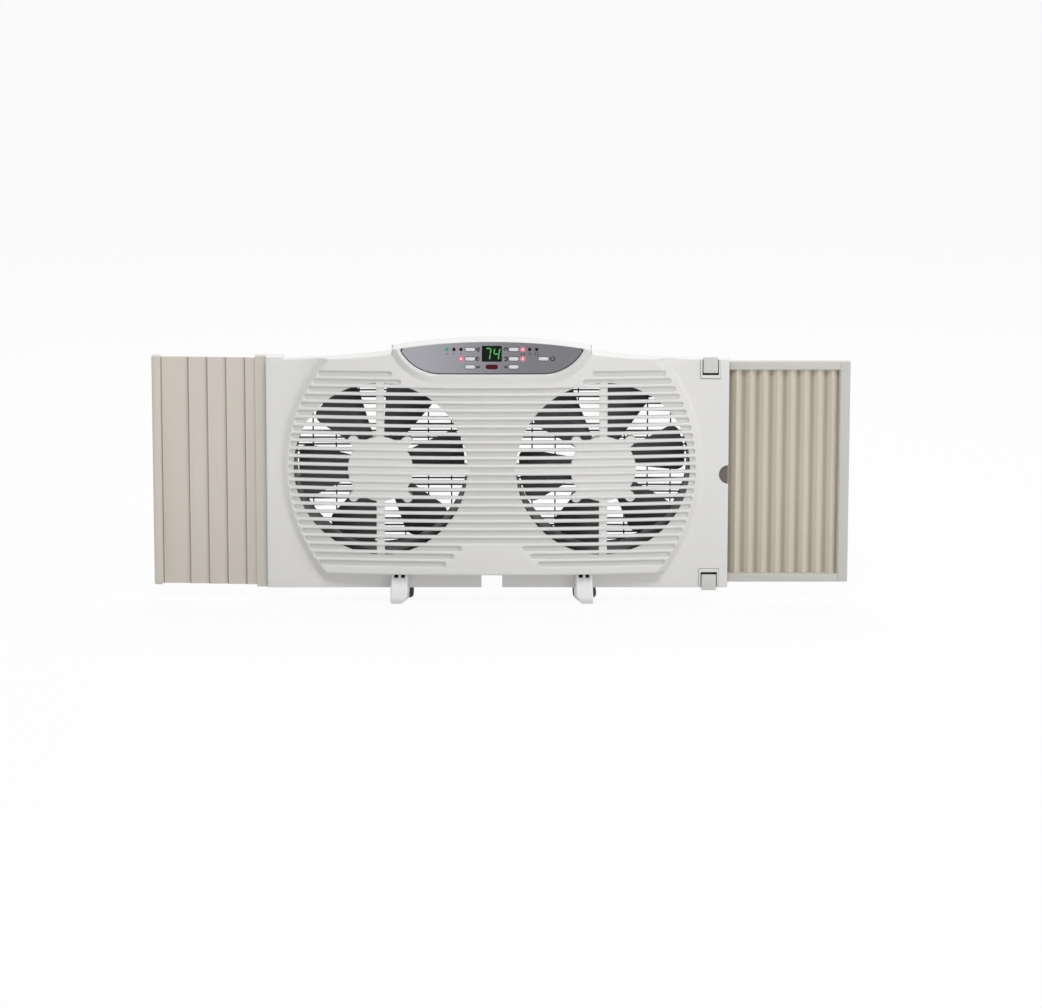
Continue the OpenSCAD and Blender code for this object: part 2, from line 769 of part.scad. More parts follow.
module impeller_nut(side) color([0.7, 0.7, 0.72]) at_fan(side) difference() {
    translate([0, y_hub + hub_len + nut_len, 0]) rotate([90, 0, 0])
        cylinder(d = nut_af / cos(30), h = nut_len, $fn = 6);
    rod(shaft_d / 2, y_hub, y_hub + hub_len + nut_len + 1);
}

module motor_screws() color([0.6, 0.6, 0.62]) for (side = [-1, 1], sx = [-1, 1], sz = [-1, 1])
    translate([side * fan_pitch / 2 + sx * ear_x, 0, axis_z + sz * ear_z]) {
        rod(motor_screw_d / 2, y_motor - 5, y_motor + ear_t + 0.5);
        rod(motor_head_r, y_motor + ear_t, y_motor + ear_t + motor_head_h);
    }

// ---------- control panel ----------

module control_panel() color([0.55, 0.55, 0.57]) {
    difference() {
        intersection() {
            xz(y_nose - 1, y_board) panel_2d(0);
            behind_dome(snug);
        }
        behind_dome(panel_t + snug);
        xz(y_nose - 1, y_board) {
            translate([-display_w / 2 - snug, display_z - display_h / 2 - snug])
                square([display_w + 2 * snug, display_h + 2 * snug]);
            slot_2d(-ir_w / 2 - snug, ir_w / 2 + snug, row_low, ir_h + 2 * snug);
            for (p = button_places)
                slot_2d(p[0] - button_w / 2 - snug, p[0] + button_w / 2 + snug, p[1], button_h + 2 * snug);
            for (p = concat(green_lamps, red_lamps, dark_lamps)) translate(p) circle(d = lamp_d + 2 * snug);
        }
    }
    for (sx = [-1, 1], z = [row_low, row_top]) difference() {
        rod(post_r, dome_y(post_x) + panel_t - 0.5, y_board, sx * post_x, z);
        rod(board_screw_r + 0.1, y_board - 6, y_board + 1, sx * post_x, z);
    }
}

module display_window() color([0.05, 0.06, 0.05])
    block([-display_w / 2, y_nose + snug, display_z - display_h / 2],
        [display_w / 2, y_nose + snug + window_t, display_z + display_h / 2]);

module display_module() color([0.12, 0.12, 0.12])
    block([-display_w / 2 + 1, y_nose + snug + window_t, display_z - display_h / 2 + 1],
        [display_w / 2 - 1, y_board, display_z + display_h / 2 - 1]);

module infrared_window() color([0.35, 0.08, 0.08])
    xz(y_nose + snug, y_board) slot_2d(-ir_w / 2, ir_w / 2, row_low, ir_h);

module lamps(places) for (p = places) rod(lamp_d / 2, dome_y(p[0]) - 0.4, y_board, p[0], p[1]);

module green_indicator() color([0.1, 0.7, 0.4]) lamps(green_lamps);
module red_indicators() color([0.9, 0.2, 0.2]) lamps(red_lamps);
module dark_indicators() color([0.15, 0.06, 0.08]) lamps(dark_lamps);

// A button has a cap that passes the panel and a wider base that keeps it in.
module button(i) {
    p = button_places[i];
    y_cap = dome_y(p[0]) + snug;
    y_base = dome_y(abs(p[0]) + base_half_w) + snug + panel_t + clear;
    color([0.92, 0.92, 0.92]) {
        xz(y_cap - button_proud, y_board - switch_h - button_stroke - 0.1)
            slot_2d(p[0] - button_w / 2, p[0] + button_w / 2, p[1], button_h);
        xz(y_base, y_base + button_rim_t)
            slot_2d(p[0] - base_half_w, p[0] + base_half_w, p[1], button_h + 2 * button_rim);
    }
}

module button_switches() color([0.2, 0.2, 0.22]) for (p = button_places)
    rod(switch_r, y_board - switch_h, y_board, p[0], p[1]);

module control_board() color([0.1, 0.4, 0.25]) difference() {
    block([-board_half_w, y_board, row_low - board_margin],
        [board_half_w, y_board + board_t, row_top + board_margin]);
    for (sx = [-1, 1], z = [row_low, row_top])
        rod(board_screw_r + 0.2, y_board - 1, y_board + board_t + 1, sx * post_x, z);
}

module board_screws() color([0.6, 0.6, 0.62]) for (sx = [-1, 1], z = [row_low, row_top]) {
    rod(board_screw_r, y_board - 5, y_board + board_t + 0.5, sx * post_x, z);
    rod(board_head_r, y_board + board_t, y_board + board_t + board_head_h, sx * post_x, z);
}

// Closes the hump from behind.
module control_cover() color([0.84, 0.84, 0.83]) {
    xz(y_skirt, y_skirt + 2) intersection() {
        cover_2d();
        translate([cover_left_x, shell_h + 0.2]) square([guide_start - 2 - cover_left_x, big]);
    }
    block([guide_start - 4, y_seat, shell_h + 0.2], [guide_start - 2, y_skirt + 1, flange_top - 2.4]);
    block([cover_left_x, y_seat, shell_h + 0.2], [cover_left_x + 2, y_skirt + 1, flange_top - 2.4]);
}

module power_board() color([0.1, 0.4, 0.25])
    block([-power_board_w / 2, -power_board_d / 2, power_board_z],
        [power_board_w / 2, power_board_d / 2, power_board_z + board_t]);

// A box that stands on the power board, its middle at the given X.
module on_board(size, x) translate([x - size[0] / 2, -size[1] / 2, power_board_z + board_t]) cube(size);

module transformer() color([0.45, 0.42, 0.4]) on_board(transformer_size, 0);

module fan_capacitors() color([0.15, 0.2, 0.35]) for (sx = [-1, 1]) on_board(capacitor_size, sx * capacitor_x);

// ---------- left slat panel ----------

module left_channel() color([0.72, 0.71, 0.66]) difference() {
    block([channel_left, y_channel, -lip_drop - channel_wall],
        [-shell_half, y_channel_back + channel_wall, flange_top + channel_wall]);
    block([channel_left - 1, y_channel + channel_wall, -lip_drop],
        [-shell_half - channel_wall, y_channel_back, flange_top]);
}

// Slat 1 is nearest the housing and in front; each next slat lies one layer deeper.
module slat(i) {
    outer = i == slat_count ? bar_inner : channel_left - first_show - (i - 1) * slat_step;
    inner = i == slat_count ? bar_inner + last_show + slat_overlap : outer + slat_w;
    y0 = y_slat + (i - 1) * slat_layer;
    color([0.78, 0.75, 0.72]) block([outer, y0, slat_bottom], [inner, y0 + slat_t, slat_top]);
}

module left_end_bar() color([0.76, 0.75, 0.7]) difference() {
    block([bar_outer, y_channel - 1, -lip_drop + bar_end_inset],
        [bar_inner, y_channel - 1 + bar_depth, flange_top + channel_wall]);
    // groove that holds the last slat's edge
    block([bar_outer + 3, y_channel + 2, -lip_drop + 4],
        [bar_inner - 3, y_channel + bar_depth, flange_top - 3]);
}

// ---------- right pleated panel ----------

module right_channel() color([0.8, 0.8, 0.78]) difference() {
    union() {
        xz(y_guide_back, y_guide_back + guide_wall) {
            translate([shell_half, rail_bottom - clear - guide_wall])
                square([pocket_w - 1, rail_top - rail_bottom + 2 * (clear + guide_wall)]);
            translate([guide_start, shell_h])
                square([edge_right - 1 - guide_start, rail_top + clear + guide_wall - shell_h]);
            translate([guide_start, rail_bottom - clear - guide_wall])
                square([edge_right - 1 - guide_start, -(rail_bottom - clear - guide_wall)]);
        }
        for (z = [rail_top + clear, rail_bottom - clear - guide_wall])
            block([guide_start, y_seat, z], [edge_right - 1, y_guide_back + 0.5, z + guide_wall]);
        // floor of the upper guide, which ends at the pocket of the pleats
        block([guide_start, y_seat, rail_top - rail_h - clear - guide_wall],
            [shell_half + guide_wall, y_guide_back + 0.5, rail_top - rail_h - clear]);
        block([shell_half, y_seat, 0], [shell_half + guide_wall, y_guide_back + 0.5, shell_h]);
    }
    // room for the feet of the lock tabs
    block([tab_x - tab_room_half, y_seat - 1, rail_top + clear / 2],
        [tab_x + tab_room_half, y_guide_back - 0.5, flange_top + 1]);
    block([tab_x - tab_room_half, y_seat - 1, -lip_drop - 1],
        [tab_x + tab_room_half, y_guide_back - 0.5, rail_bottom - clear / 2]);
}

module right_rail(z) color([0.76, 0.77, 0.74])
    block([edge_right - rail_grip, y_rail, z], [stile_inner, y_rail + rail_depth, z + rail_h]);

module right_end_stile() color([0.76, 0.77, 0.74])
    block([stile_inner, y_rail, rail_bottom], [stile_outer, y_rail + rail_depth, rail_top]);

// The sheet is a cosine wave seen from above, with the wall measured straight along the depth.
pleat_steps = 8;
function pleat_at(t) = [
    pleat_start + (stile_inner - clear - pleat_start) * t,
    y_pleat + pleat_amp * cos(360 * pleat_count * t)
];
module pleated_curtain() {
    n = pleat_count * pleat_steps;
    front = [for (i = [0:n]) pleat_at(i / n) - [0, pleat_t / 2]];
    back = [for (i = [n:-1:0]) pleat_at(i / n) + [0, pleat_t / 2]];
    color([0.78, 0.75, 0.68]) translate([0, 0, rail_bottom + rail_h + clear])
        linear_extrude(rail_top - rail_bottom - 2 * (rail_h + clear)) polygon(concat(front, back));
}

// ---------- lock tabs ----------

module lock_tab(z, foot_z) color([0.7, 0.71, 0.71]) {
    block([tab_x - tab_w / 2, tab_y - tab_t, z], [tab_x + tab_w / 2, tab_y, z + tab_h]);
    block([tab_x - tab_foot_half, tab_y - 1, foot_z],
        [tab_x + tab_foot_half, y_guide_back - 1, foot_z + lock_foot_t]);
}

// ---------- feet ----------

// Side outline of a foot: a curved toe in front of the lip, a sole, and a block that docks under the shell.
function toe(a) = [y_face - lip_clear - 2 - toe_reach * sin(a), sole_rise - foot_drop + toe_h * (1 - cos(a))];
module foot_2d() polygon(concat(
    [[y_face - lip_clear, bulge_lift - lip_clear], [y_face - lip_clear - 10, bulge_lift - 1.5]],
    [for (a = [toe_round:-20:0]) toe(a)],
    [[y_shoe, sole_rise - foot_drop], [y_shoe, -foot_drop + 4],
    [y_heel - 4, -foot_drop + 4], [y_heel, -foot_drop + 8],
    [y_heel, dock_depth], [y_seat + lip_clear, dock_depth], [y_seat + lip_clear, -lip_drop - lip_clear],
    [y_face - lip_clear, -lip_drop - lip_clear]]
));

module foot_body(side) translate([side * foot_x - foot_w / 2, 0, 0])
    rotate([90, 0, 90]) linear_extrude(foot_w) foot_2d();

module foot(side) color([0.88, 0.88, 0.9]) difference() {
    foot_body(side);
    // two grip slots at the top of the toe
    for (s = [-1, 1]) block([side * foot_x + s * grip_x - grip_w / 2, y_face - 20, bulge_lift - grip_depth],
        [side * foot_x + s * grip_x + grip_w / 2, y_face - 5, bulge_lift + 1]);
}

module foot_shoe(side) color([0.2, 0.2, 0.2]) difference() {
    xz(y_shoe + 0.2, y_heel + 1) {
        x = side * foot_x + shoe_shift;
        slot_2d(x - shoe_w / 2, x + shoe_w / 2, -foot_drop + shoe_h / 2, shoe_h);
        translate([x - shoe_w / 2 + 1.5, -foot_drop]) square([shoe_w - 3, shoe_h / 2]);
    }
    foot_body(side);
}

front_bezel();
rear_shell();
rear_plate();
rear_guards();
air_ring(-1);  // left_air_ring
air_ring(1);  // right_air_ring
motor_case(-1);  // left_motor_case
motor_case(1);  // right_motor_case
stator(-1);  // left_stator
stator(1);  // right_stator
bearings(-1);  // left_bearings
bearings(1);  // right_bearings
rotor_shaft(-1);  // left_rotor_shaft
rotor_shaft(1);  // right_rotor_shaft
impeller(-1, left_phase);  // left_impeller
impeller(1, right_phase);  // right_impeller
impeller_nut(-1);  // left_impeller_nut
impeller_nut(1);  // right_impeller_nut
motor_screws();
control_panel();
display_window();
display_module();
infrared_window();
green_indicator();
red_indicators();
dark_indicators();
button(0);  // left_top_button
button(1);  // left_middle_button
button(2);  // left_bottom_button
button(3);  // right_top_button
button(4);  // right_middle_button
button(5);  // right_bottom_button
button(6);  // power_button
button_switches();
control_board();
board_screws();
control_cover();
power_board();
transformer();
fan_capacitors();
left_channel();
slat(1);  // left_slat_1
slat(2);  // left_slat_2
slat(3);  // left_slat_3
slat(4);  // left_slat_4
slat(5);  // left_slat_5
left_end_bar();
right_channel();
right_rail(rail_top - rail_h);  // right_upper_rail
right_rail(rail_bottom);  // right_lower_rail
right_end_stile();
pleated_curtain();
lock_tab(upper_tab_z, upper_foot_z);  // upper_lock_tab
lock_tab(lower_tab_z, lower_foot_z);  // lower_lock_tab
foot(-1);  // left_foot
foot(1);  // right_foot
foot_shoe(-1);  // left_foot_shoe
foot_shoe(1);  // right_foot_shoe
case_screws();
cord_bush();
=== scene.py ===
# %% [markdown]
# # A twin window fan
#
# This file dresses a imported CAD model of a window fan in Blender. The CAD
# model says where everything is and how it moves. Here each piece that shows
# gets the soft edges, curved skins and plastics of the real thing.
#
# Lengths are written in millimetres, as on a drawing, and turned into metres
# in one place, where a mesh is made. X runs to the right as seen from the
# room, the front faces -Y and Z is up.

# %% Load the frame
import math

import bmesh
import bpy
import numpy as np
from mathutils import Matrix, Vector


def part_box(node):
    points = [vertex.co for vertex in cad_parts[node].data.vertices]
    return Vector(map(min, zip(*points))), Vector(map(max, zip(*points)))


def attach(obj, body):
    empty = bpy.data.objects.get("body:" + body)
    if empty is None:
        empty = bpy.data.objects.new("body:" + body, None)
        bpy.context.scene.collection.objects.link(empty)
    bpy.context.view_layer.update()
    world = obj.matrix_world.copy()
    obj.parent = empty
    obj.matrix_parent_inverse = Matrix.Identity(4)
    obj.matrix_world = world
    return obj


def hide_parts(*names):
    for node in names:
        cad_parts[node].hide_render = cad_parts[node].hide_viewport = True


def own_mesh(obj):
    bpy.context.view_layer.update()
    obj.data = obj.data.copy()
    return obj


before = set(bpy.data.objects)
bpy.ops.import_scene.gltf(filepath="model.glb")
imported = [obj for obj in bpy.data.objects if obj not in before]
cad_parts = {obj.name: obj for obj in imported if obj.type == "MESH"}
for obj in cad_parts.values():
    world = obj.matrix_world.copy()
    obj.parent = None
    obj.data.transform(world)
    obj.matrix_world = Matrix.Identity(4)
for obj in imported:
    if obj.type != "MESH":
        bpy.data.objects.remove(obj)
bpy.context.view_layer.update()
MM = 0.001


def node_box(node):
    """A CAD node's lowest and highest corner, in millimetres."""
    low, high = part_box(node)
    return np.array(low) / MM, np.array(high) / MM


# %% [markdown]
# ## Sizes that the frame gives
#
# A size that the CAD model already knows is read from its boxes, so that the
# surfaces made here follow it. What a box can't tell, such as the radius of
# the dome, is named once here, with the value that the drawing has.

# %% Read the main sizes
ring_low, ring_high = node_box("right_air_ring")
bezel_low, bezel_high = node_box("front_bezel")
shell_low, shell_high = node_box("rear_shell")
FAN_X = (ring_low[0] + ring_high[0]) / 2
FAN_Z = (ring_low[2] + ring_high[2]) / 2
RING_WALL = 4.0
APERTURE_R = (ring_high[0] - ring_low[0]) / 2 - RING_WALL
EDGE_LEFT, EDGE_RIGHT = bezel_low[0], bezel_high[0]
LIP_BOTTOM, HUMP_TOP = bezel_low[2], bezel_high[2]
Y_SEAT, Y_SKIRT = shell_low[1], bezel_high[1]
SHELL_TOP = shell_high[2]
FLANGE_T = 3.0
FLANGE_TOP = SHELL_TOP + 22
Y_FACE = Y_SEAT - FLANGE_T

# the dome: a shallow arc across the front, inside a rounded outline
BULGE_HALF = shell_high[0] - 1
BULGE_R = 230.0
BULGE_CX = BULGE_HALF - BULGE_R
SIDE_RISE = 6.0
DOME_RISE = 22.0
Y_NOSE = Y_FACE - SIDE_RISE - DOME_RISE
DOME_R = (BULGE_HALF**2 + DOME_RISE**2) / (2 * DOME_RISE)
BULGE_BOTTOM = 2.3

# the hump on top and the control panel in it
HUMP_R = 820.0
HUMP_HALF_W = 135.0
SHOULDER_RISE = 10.5
SHOULDER_LEN = 72.0
SHOULDER_RUN = -EDGE_LEFT - HUMP_HALF_W - 1
PANEL_FLAT = 68.5
PANEL_CORNER_R = 61.0
PANEL_BOTTOM = SHELL_TOP + 6.0
PANEL_CORNER_Z = PANEL_BOTTOM + PANEL_CORNER_R

# the grille
BAR_PITCH = 10.8
SLOT_H = 6.3
SLOT_ROWS = 12
SLOT_END_R = BULGE_R - 6.0
HUB_PLATE_R = 44.0
BARE_HALF_W = 41.5
print("fan axes at x", round(FAN_X, 1), "z", round(FAN_Z, 1))

# %% [markdown]
# ## Meshes from numbers
#
# Almost every piece here is a function of two parameters. Numpy works out all
# points at once as an array of rows and columns, and the faces follow from
# the grid alone. `put` then makes the object: it turns millimetres into
# metres, keeps sharp corners sharp, ties the piece to the CAD body that it
# moves with and hides the CAD nodes that it stands for.

# %% Grid faces and the call that makes a piece
SHARP = math.radians(38)
MERGE = 0.002


def grid_faces(rows, columns, close_rows=False, close_columns=False):
    """Four-cornered faces of a grid whose points are numbered row by row."""
    r = np.arange(rows if close_rows else rows - 1)
    c = np.arange(columns if close_columns else columns - 1)
    r, c = np.meshgrid(r, c, indexing="ij")
    r2, c2 = (r + 1) % rows, (c + 1) % columns
    corners = [r * columns + c, r * columns + c2, r2 * columns + c2, r2 * columns + c]
    return np.stack(corners, -1).reshape(-1, 4)


def joined(parts):
    """Several (points, faces) as one pair: each part's faces are numbered on from the points before it."""
    points, faces, start = [], [], 0
    for part_points, part_faces in parts:
        points.append(np.reshape(part_points, (-1, 3)))
        faces += [[int(corner) + start for corner in face] for face in part_faces]
        start += len(points[-1])
    return np.concatenate(points), faces


def put(name, points, faces, body, slot, material, nodes=(), sharp=SHARP, outward=True):
    """Makes one piece of the object from points in millimetres."""
    mesh = bpy.data.meshes.new(name)
    mesh.from_pydata((np.reshape(points, (-1, 3)) * MM).tolist(), [], [list(map(int, f)) for f in faces])
    work = bmesh.new()
    work.from_mesh(mesh)
    bmesh.ops.remove_doubles(work, verts=work.verts, dist=MERGE * MM)
    bmesh.ops.dissolve_degenerate(work, edges=work.edges, dist=MERGE * MM)
    loose = [v for v in work.verts if not v.link_faces]
    bmesh.ops.delete(work, geom=loose, context="VERTS")
    if outward:
        bmesh.ops.recalc_face_normals(work, faces=work.faces)
    work.to_mesh(mesh)
    work.free()
    mesh.polygons.foreach_set("use_smooth", np.ones(len(mesh.polygons), bool))
    mesh.set_sharp_from_angle(angle=sharp)
    piece = bpy.data.objects.new(name, mesh)
    bpy.context.collection.objects.link(piece)
    piece.data.materials.append(material)
    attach(piece, body)
    if nodes:
        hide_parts(*nodes)
    return piece


print("points nearer than", MERGE, "mm become one")

# %% [markdown]
# ## Slabs with rounded edges
#
# Moulded plastic has no sharp corners. A bevel modifier could round a block,
# but it knows nothing of a curved front. So a slab here is a flat outline
# carried through a short profile: it starts a little smaller, grows to full
# size round a quarter circle, and shrinks again at the far side. The outline
# is drawn in two axes and carried along the third, and a bend can then lay the
# slab on the dome.

# %% Outlines and rounded slabs
ROUND_STEPS = 4
CORNER_STEPS = 6


def arc(cx, cy, r, start, end, steps):
    """Points on a circle from one angle to another, in degrees."""
    a = np.radians(np.linspace(start, end, steps + 1))
    return np.stack([cx + r * np.cos(a), cy + r * np.sin(a)], -1)


def rounded_box(a0, a1, b0, b1, r, steps=CORNER_STEPS):
    """Outline of a rectangle with round corners, counterclockwise."""
    corners = [(a1 - r, b0 + r, -90), (a1 - r, b1 - r, 0), (a0 + r, b1 - r, 90), (a0 + r, b0 + r, 180)]
    return np.concatenate([arc(a, b, r, t, t + 90, steps) for a, b, t in corners])


def edge_normals(edges):
    """Unit normals of edges in a plane: the edge turned by a quarter, divided by its length."""
    turned = np.stack([edges[:, 1], -edges[:, 0]], -1)
    return turned / np.maximum(np.linalg.norm(turned, axis=1, keepdims=True), 1e-9)


def drawn_in(outline, inset):
    """The outline moved inwards: each point goes back along the mean normal of its two edges."""
    ahead, back = np.roll(outline, -1, 0) - outline, outline - np.roll(outline, 1, 0)
    mean = edge_normals(ahead) + edge_normals(back)
    mean = mean / np.maximum((mean * mean).sum(1, keepdims=True) / 2, 1e-9)
    return outline - mean * inset


def in_order(outline):
    """Turns an outline round if it runs clockwise, by the sign of its area."""
    ahead = np.roll(outline, -1, 0)
    area = (outline[:, 0] * ahead[:, 1] - outline[:, 1] * ahead[:, 0]).sum()
    return outline if area > 0 else outline[::-1]


print("a corner has", CORNER_STEPS, "steps, a rounded rim", ROUND_STEPS)


# %% Slabs
def slab_points(outline, low, high, r, axis=1, steps=ROUND_STEPS, r_back=None):
    """Rings of a slab: the outline carried along an axis, its two rims rounded by quarter circles."""
    r_back = r if r_back is None else r_back
    a = np.radians(np.linspace(0, 90, steps + 1))
    front = [(r * (1 - math.sin(t)), low + r * (1 - math.cos(t))) for t in a]
    rear = [(r_back * (1 - math.sin(t)), high - r_back * (1 - math.cos(t))) for t in a[::-1]]
    return np.array([np.insert(drawn_in(outline, inset), axis, depth, axis=1) for inset, depth in front + rear])


def slab_faces(rings):
    """Faces between the rings, and one flat face on each end."""
    rows, columns = rings.shape[:2]
    near, far = list(range(columns))[::-1], list(range((rows - 1) * columns, rows * columns))
    return list(grid_faces(rows, columns, close_columns=True)) + [near, far]


def dished(rings, centre):
    """Closes a slab with rings that shrink towards its centre, so that a bend shapes its faces as well."""
    centre = np.asarray(centre, float)
    shares = np.array([0.06, 0.3, 0.55, 0.8])[:, None, None]

    def spread(ring, share):
        """A ring moved a share of the way out from its own middle."""
        middle = np.array([centre[0], ring[:, 1].mean(), centre[1]])
        return middle + (ring - middle) * share
    return np.concatenate([spread(rings[0], shares), rings, spread(rings[-1], shares[::-1])])


def put_slabs(name, slabs, body, slot, material, nodes=(), bend=None, **more):
    """Makes one piece from several slabs; bend moves their points once they are all there."""
    points, faces = joined([(rings, slab_faces(rings)) for rings in slabs])
    if bend is not None:
        points = bend(points)
    return put(name, points, faces, body, slot, material, nodes, **more)


print("a slab of four corners has", len(slab_faces(slab_points(rounded_box(0, 9, 0, 9, 1), 0, 3, 1))), "faces")

# %% [markdown]
# ## Plastic, and what time does to it
#
# Injection-moulded parts share three effects: a fine spark-eroded grain, tiny
# shifts of colour, and edges that are rubbed a little lighter. A picture could
# carry them, but it would blur when seen from near. So each effect is built
# once as a node group with named sockets, and every material places it with
# its own values. Object coordinates keep the patterns fixed to the piece.

# %% Colours and small node helpers
COLOUR, NUMBER = "NodeSocketColor", "NodeSocketFloat"
GREY = (0.8, 0.8, 0.8, 1)


def linear(red, green, blue):
    """A screen colour from 0 to 255 as the linear value that shaders take: the screen's own curve, undone."""
    c = np.array([red, green, blue]) / 255
    c = np.where(c <= 0.04045, c / 12.92, ((c + 0.055) / 1.055) ** 2.4)
    return (float(c[0]), float(c[1]), float(c[2]), 1.0)


def new_group(name, inputs, outputs):
    """An empty shader node group with named sockets; gives back what goes in and what comes out by name."""
    group = bpy.data.node_groups.new(name, "ShaderNodeTree")
    for label, kind, value in inputs:
        socket = group.interface.new_socket(name=label, in_out="INPUT", socket_type=kind)
        socket.default_value = value
    for label, kind in outputs:
        group.interface.new_socket(name=label, in_out="OUTPUT", socket_type=kind)
    return group, group.nodes.new("NodeGroupInput").outputs, group.nodes.new("NodeGroupOutput").inputs


def math_node(group, operation, a, b=None):
    """A Math node whose inputs are sockets or plain numbers."""
    node = group.nodes.new("ShaderNodeMath")
    node.operation = operation
    for socket, value in zip(node.inputs, (a, b)):
        if isinstance(value, (int, float)):
            socket.default_value = value
        elif value is not None:
            group.links.new(value, socket)
    return node.outputs[0]


def object_place(group):
    """Object coordinates, in metres."""
    return group.nodes.new("ShaderNodeTexCoord").outputs["Object"]


def scaled_noise(group, where, scale, detail):
    """Noise from 0 to 1 at a place; scale is a socket or a number per metre."""
    noise = group.nodes.new("ShaderNodeTexNoise")
    noise.inputs["Detail"].default_value = detail
    group.links.new(where, noise.inputs["Vector"])
    if isinstance(scale, (int, float)):
        noise.inputs["Scale"].default_value = scale
    else:
        group.links.new(scale, noise.inputs["Scale"])
    return noise.outputs["Fac"]


def drift_of(group, noise, amount):
    """A small change up or down: noise less a half, times the amount."""
    return math_node(group, "MULTIPLY", math_node(group, "SUBTRACT", noise, 0.5), amount)


def scaled_colour(group, colour, factor):
    """The colour with its brightness multiplied by a factor."""
    tint = group.nodes.new("ShaderNodeHueSaturation")
    group.links.new(factor, tint.inputs["Value"])
    group.links.new(colour, tint.inputs["Color"])
    return tint.outputs["Color"]


print("mid grey as a shader value:", round(linear(128, 128, 128)[0], 3))

# %% Moulded grain and rubbed edges
CLOUD_SCALE, PATCH_SCALE = 14.0, 60.0
FLAT, EDGE = 0.52, 0.62


def moulded_surface():
    """Moulded plastic: colour times one plus drift, roughness plus twice the drift, and the grain's height."""
    group, given, out = new_group(
        "Moulded surface",
        [("Colour", COLOUR, GREY), ("Grain scale", NUMBER, 900.0), ("Drift", NUMBER, 0.03),
         ("Roughness", NUMBER, 0.45)],
        [("Colour", COLOUR), ("Height", NUMBER), ("Roughness", NUMBER)])
    where = object_place(group)
    grain = scaled_noise(group, where, given["Grain scale"], 3.0)
    drift = drift_of(group, scaled_noise(group, where, CLOUD_SCALE, 4.0), given["Drift"])
    rough = math_node(group, "ADD", given["Roughness"], math_node(group, "MULTIPLY", drift, 2.0))
    colour = scaled_colour(group, given["Colour"], math_node(group, "ADD", drift, 1.0))
    group.links.new(colour, out["Colour"])
    group.links.new(grain, out["Height"])
    group.links.new(rough, out["Roughness"])
    return group


def rubbed_edges():
    """Mixes in the edge colour where the surface is sharply convex and noise is high, as hands rub it."""
    group, given, out = new_group(
        "Rubbed edges",
        [("Colour", COLOUR, GREY), ("Wear", NUMBER, 0.3), ("Edge colour", COLOUR, (1, 1, 1, 1))],
        [("Colour", COLOUR), ("Mask", NUMBER)])
    where = object_place(group)
    ramp = group.nodes.new("ShaderNodeMapRange")
    ramp.inputs["From Min"].default_value = FLAT
    ramp.inputs["From Max"].default_value = EDGE
    bend = group.nodes.new("ShaderNodeNewGeometry").outputs["Pointiness"]
    group.links.new(bend, ramp.inputs["Value"])
    patches = scaled_noise(group, where, PATCH_SCALE, 3.0)
    mask = math_node(group, "MULTIPLY", ramp.outputs["Result"], patches)
    mask = math_node(group, "MULTIPLY", mask, given["Wear"])
    mix = group.nodes.new("ShaderNodeMix")
    mix.data_type = "RGBA"
    group.links.new(mask, mix.inputs["Factor"])
    group.links.new(given["Colour"], mix.inputs["A"])
    group.links.new(given["Edge colour"], mix.inputs["B"])
    group.links.new(mix.outputs["Result"], out["Colour"])
    group.links.new(mask, out["Mask"])
    return group


SURFACE, EDGES = moulded_surface(), rubbed_edges()
print("groups for plastic:", SURFACE.name, "and", EDGES.name)

# %% [markdown]
# ### Metal lines, and shade that runs along an axis
#
# Pressed and turned metal carries fine lines in one direction, which is noise
# on coordinates that are stretched along them. Two plastics also get painted
# light along an axis: the control panel is painted lighter on its left, a
# painted sheen where a lamp's reflection would lie, and the pleated sheet has
# painted shade deep in its folds. One function builds the group for either axis.

# %% Brushed metal and shade along an axis
LINE_SCALE, LINE_STRETCH, LINE_DRIFT = 1500.0, 0.04, 0.3


def brushed_metal():
    """Fine lines along Y, as rolling and grinding leave them: they shift colour and roughness alike."""
    group, given, out = new_group(
        "Brushed metal",
        [("Colour", COLOUR, (0.6, 0.6, 0.6, 1)), ("Roughness", NUMBER, 0.3)],
        [("Colour", COLOUR), ("Height", NUMBER), ("Roughness", NUMBER)])
    stretch = group.nodes.new("ShaderNodeMapping")
    stretch.inputs["Scale"].default_value = (1.0, LINE_STRETCH, 1.0)
    group.links.new(object_place(group), stretch.inputs["Vector"])
    lines = scaled_noise(group, stretch.outputs["Vector"], LINE_SCALE, 2.0)
    drift = drift_of(group, lines, LINE_DRIFT)
    colour = scaled_colour(group, given["Colour"], math_node(group, "ADD", drift, 1.0))
    group.links.new(colour, out["Colour"])
    group.links.new(lines, out["Height"])
    group.links.new(math_node(group, "ADD", given["Roughness"], drift), out["Roughness"])
    return group


def painted_light_along(axis):
    """Paints light or shade into a colour: it multiplies the colour by a factor that moves from one value to another
    between two places on an axis. With t the share of the way, it has moved by three t squared less two t cubed."""
    group, given, out = new_group(
        "Painted light along " + axis,
        [("Colour", COLOUR, GREY), ("Start", NUMBER, 0.0), ("End", NUMBER, 0.1), ("At start", NUMBER, 1.0),
         ("At end", NUMBER, 0.7)],
        [("Colour", COLOUR)])
    split = group.nodes.new("ShaderNodeSeparateXYZ")
    group.links.new(object_place(group), split.inputs[0])
    ramp = group.nodes.new("ShaderNodeMapRange")
    ramp.interpolation_type = "SMOOTHSTEP"
    group.links.new(split.outputs[axis], ramp.inputs["Value"])
    group.links.new(given["Start"], ramp.inputs["From Min"])
    group.links.new(given["End"], ramp.inputs["From Max"])
    group.links.new(given["At start"], ramp.inputs["To Min"])
    group.links.new(given["At end"], ramp.inputs["To Max"])
    group.links.new(scaled_colour(group, given["Colour"], ramp.outputs["Result"]), out["Colour"])
    return group


METAL, PAINTED_SHEEN_X, PAINTED_SHADE_Y = brushed_metal(), painted_light_along("X"), painted_light_along("Y")
print("node groups:", len(bpy.data.node_groups))

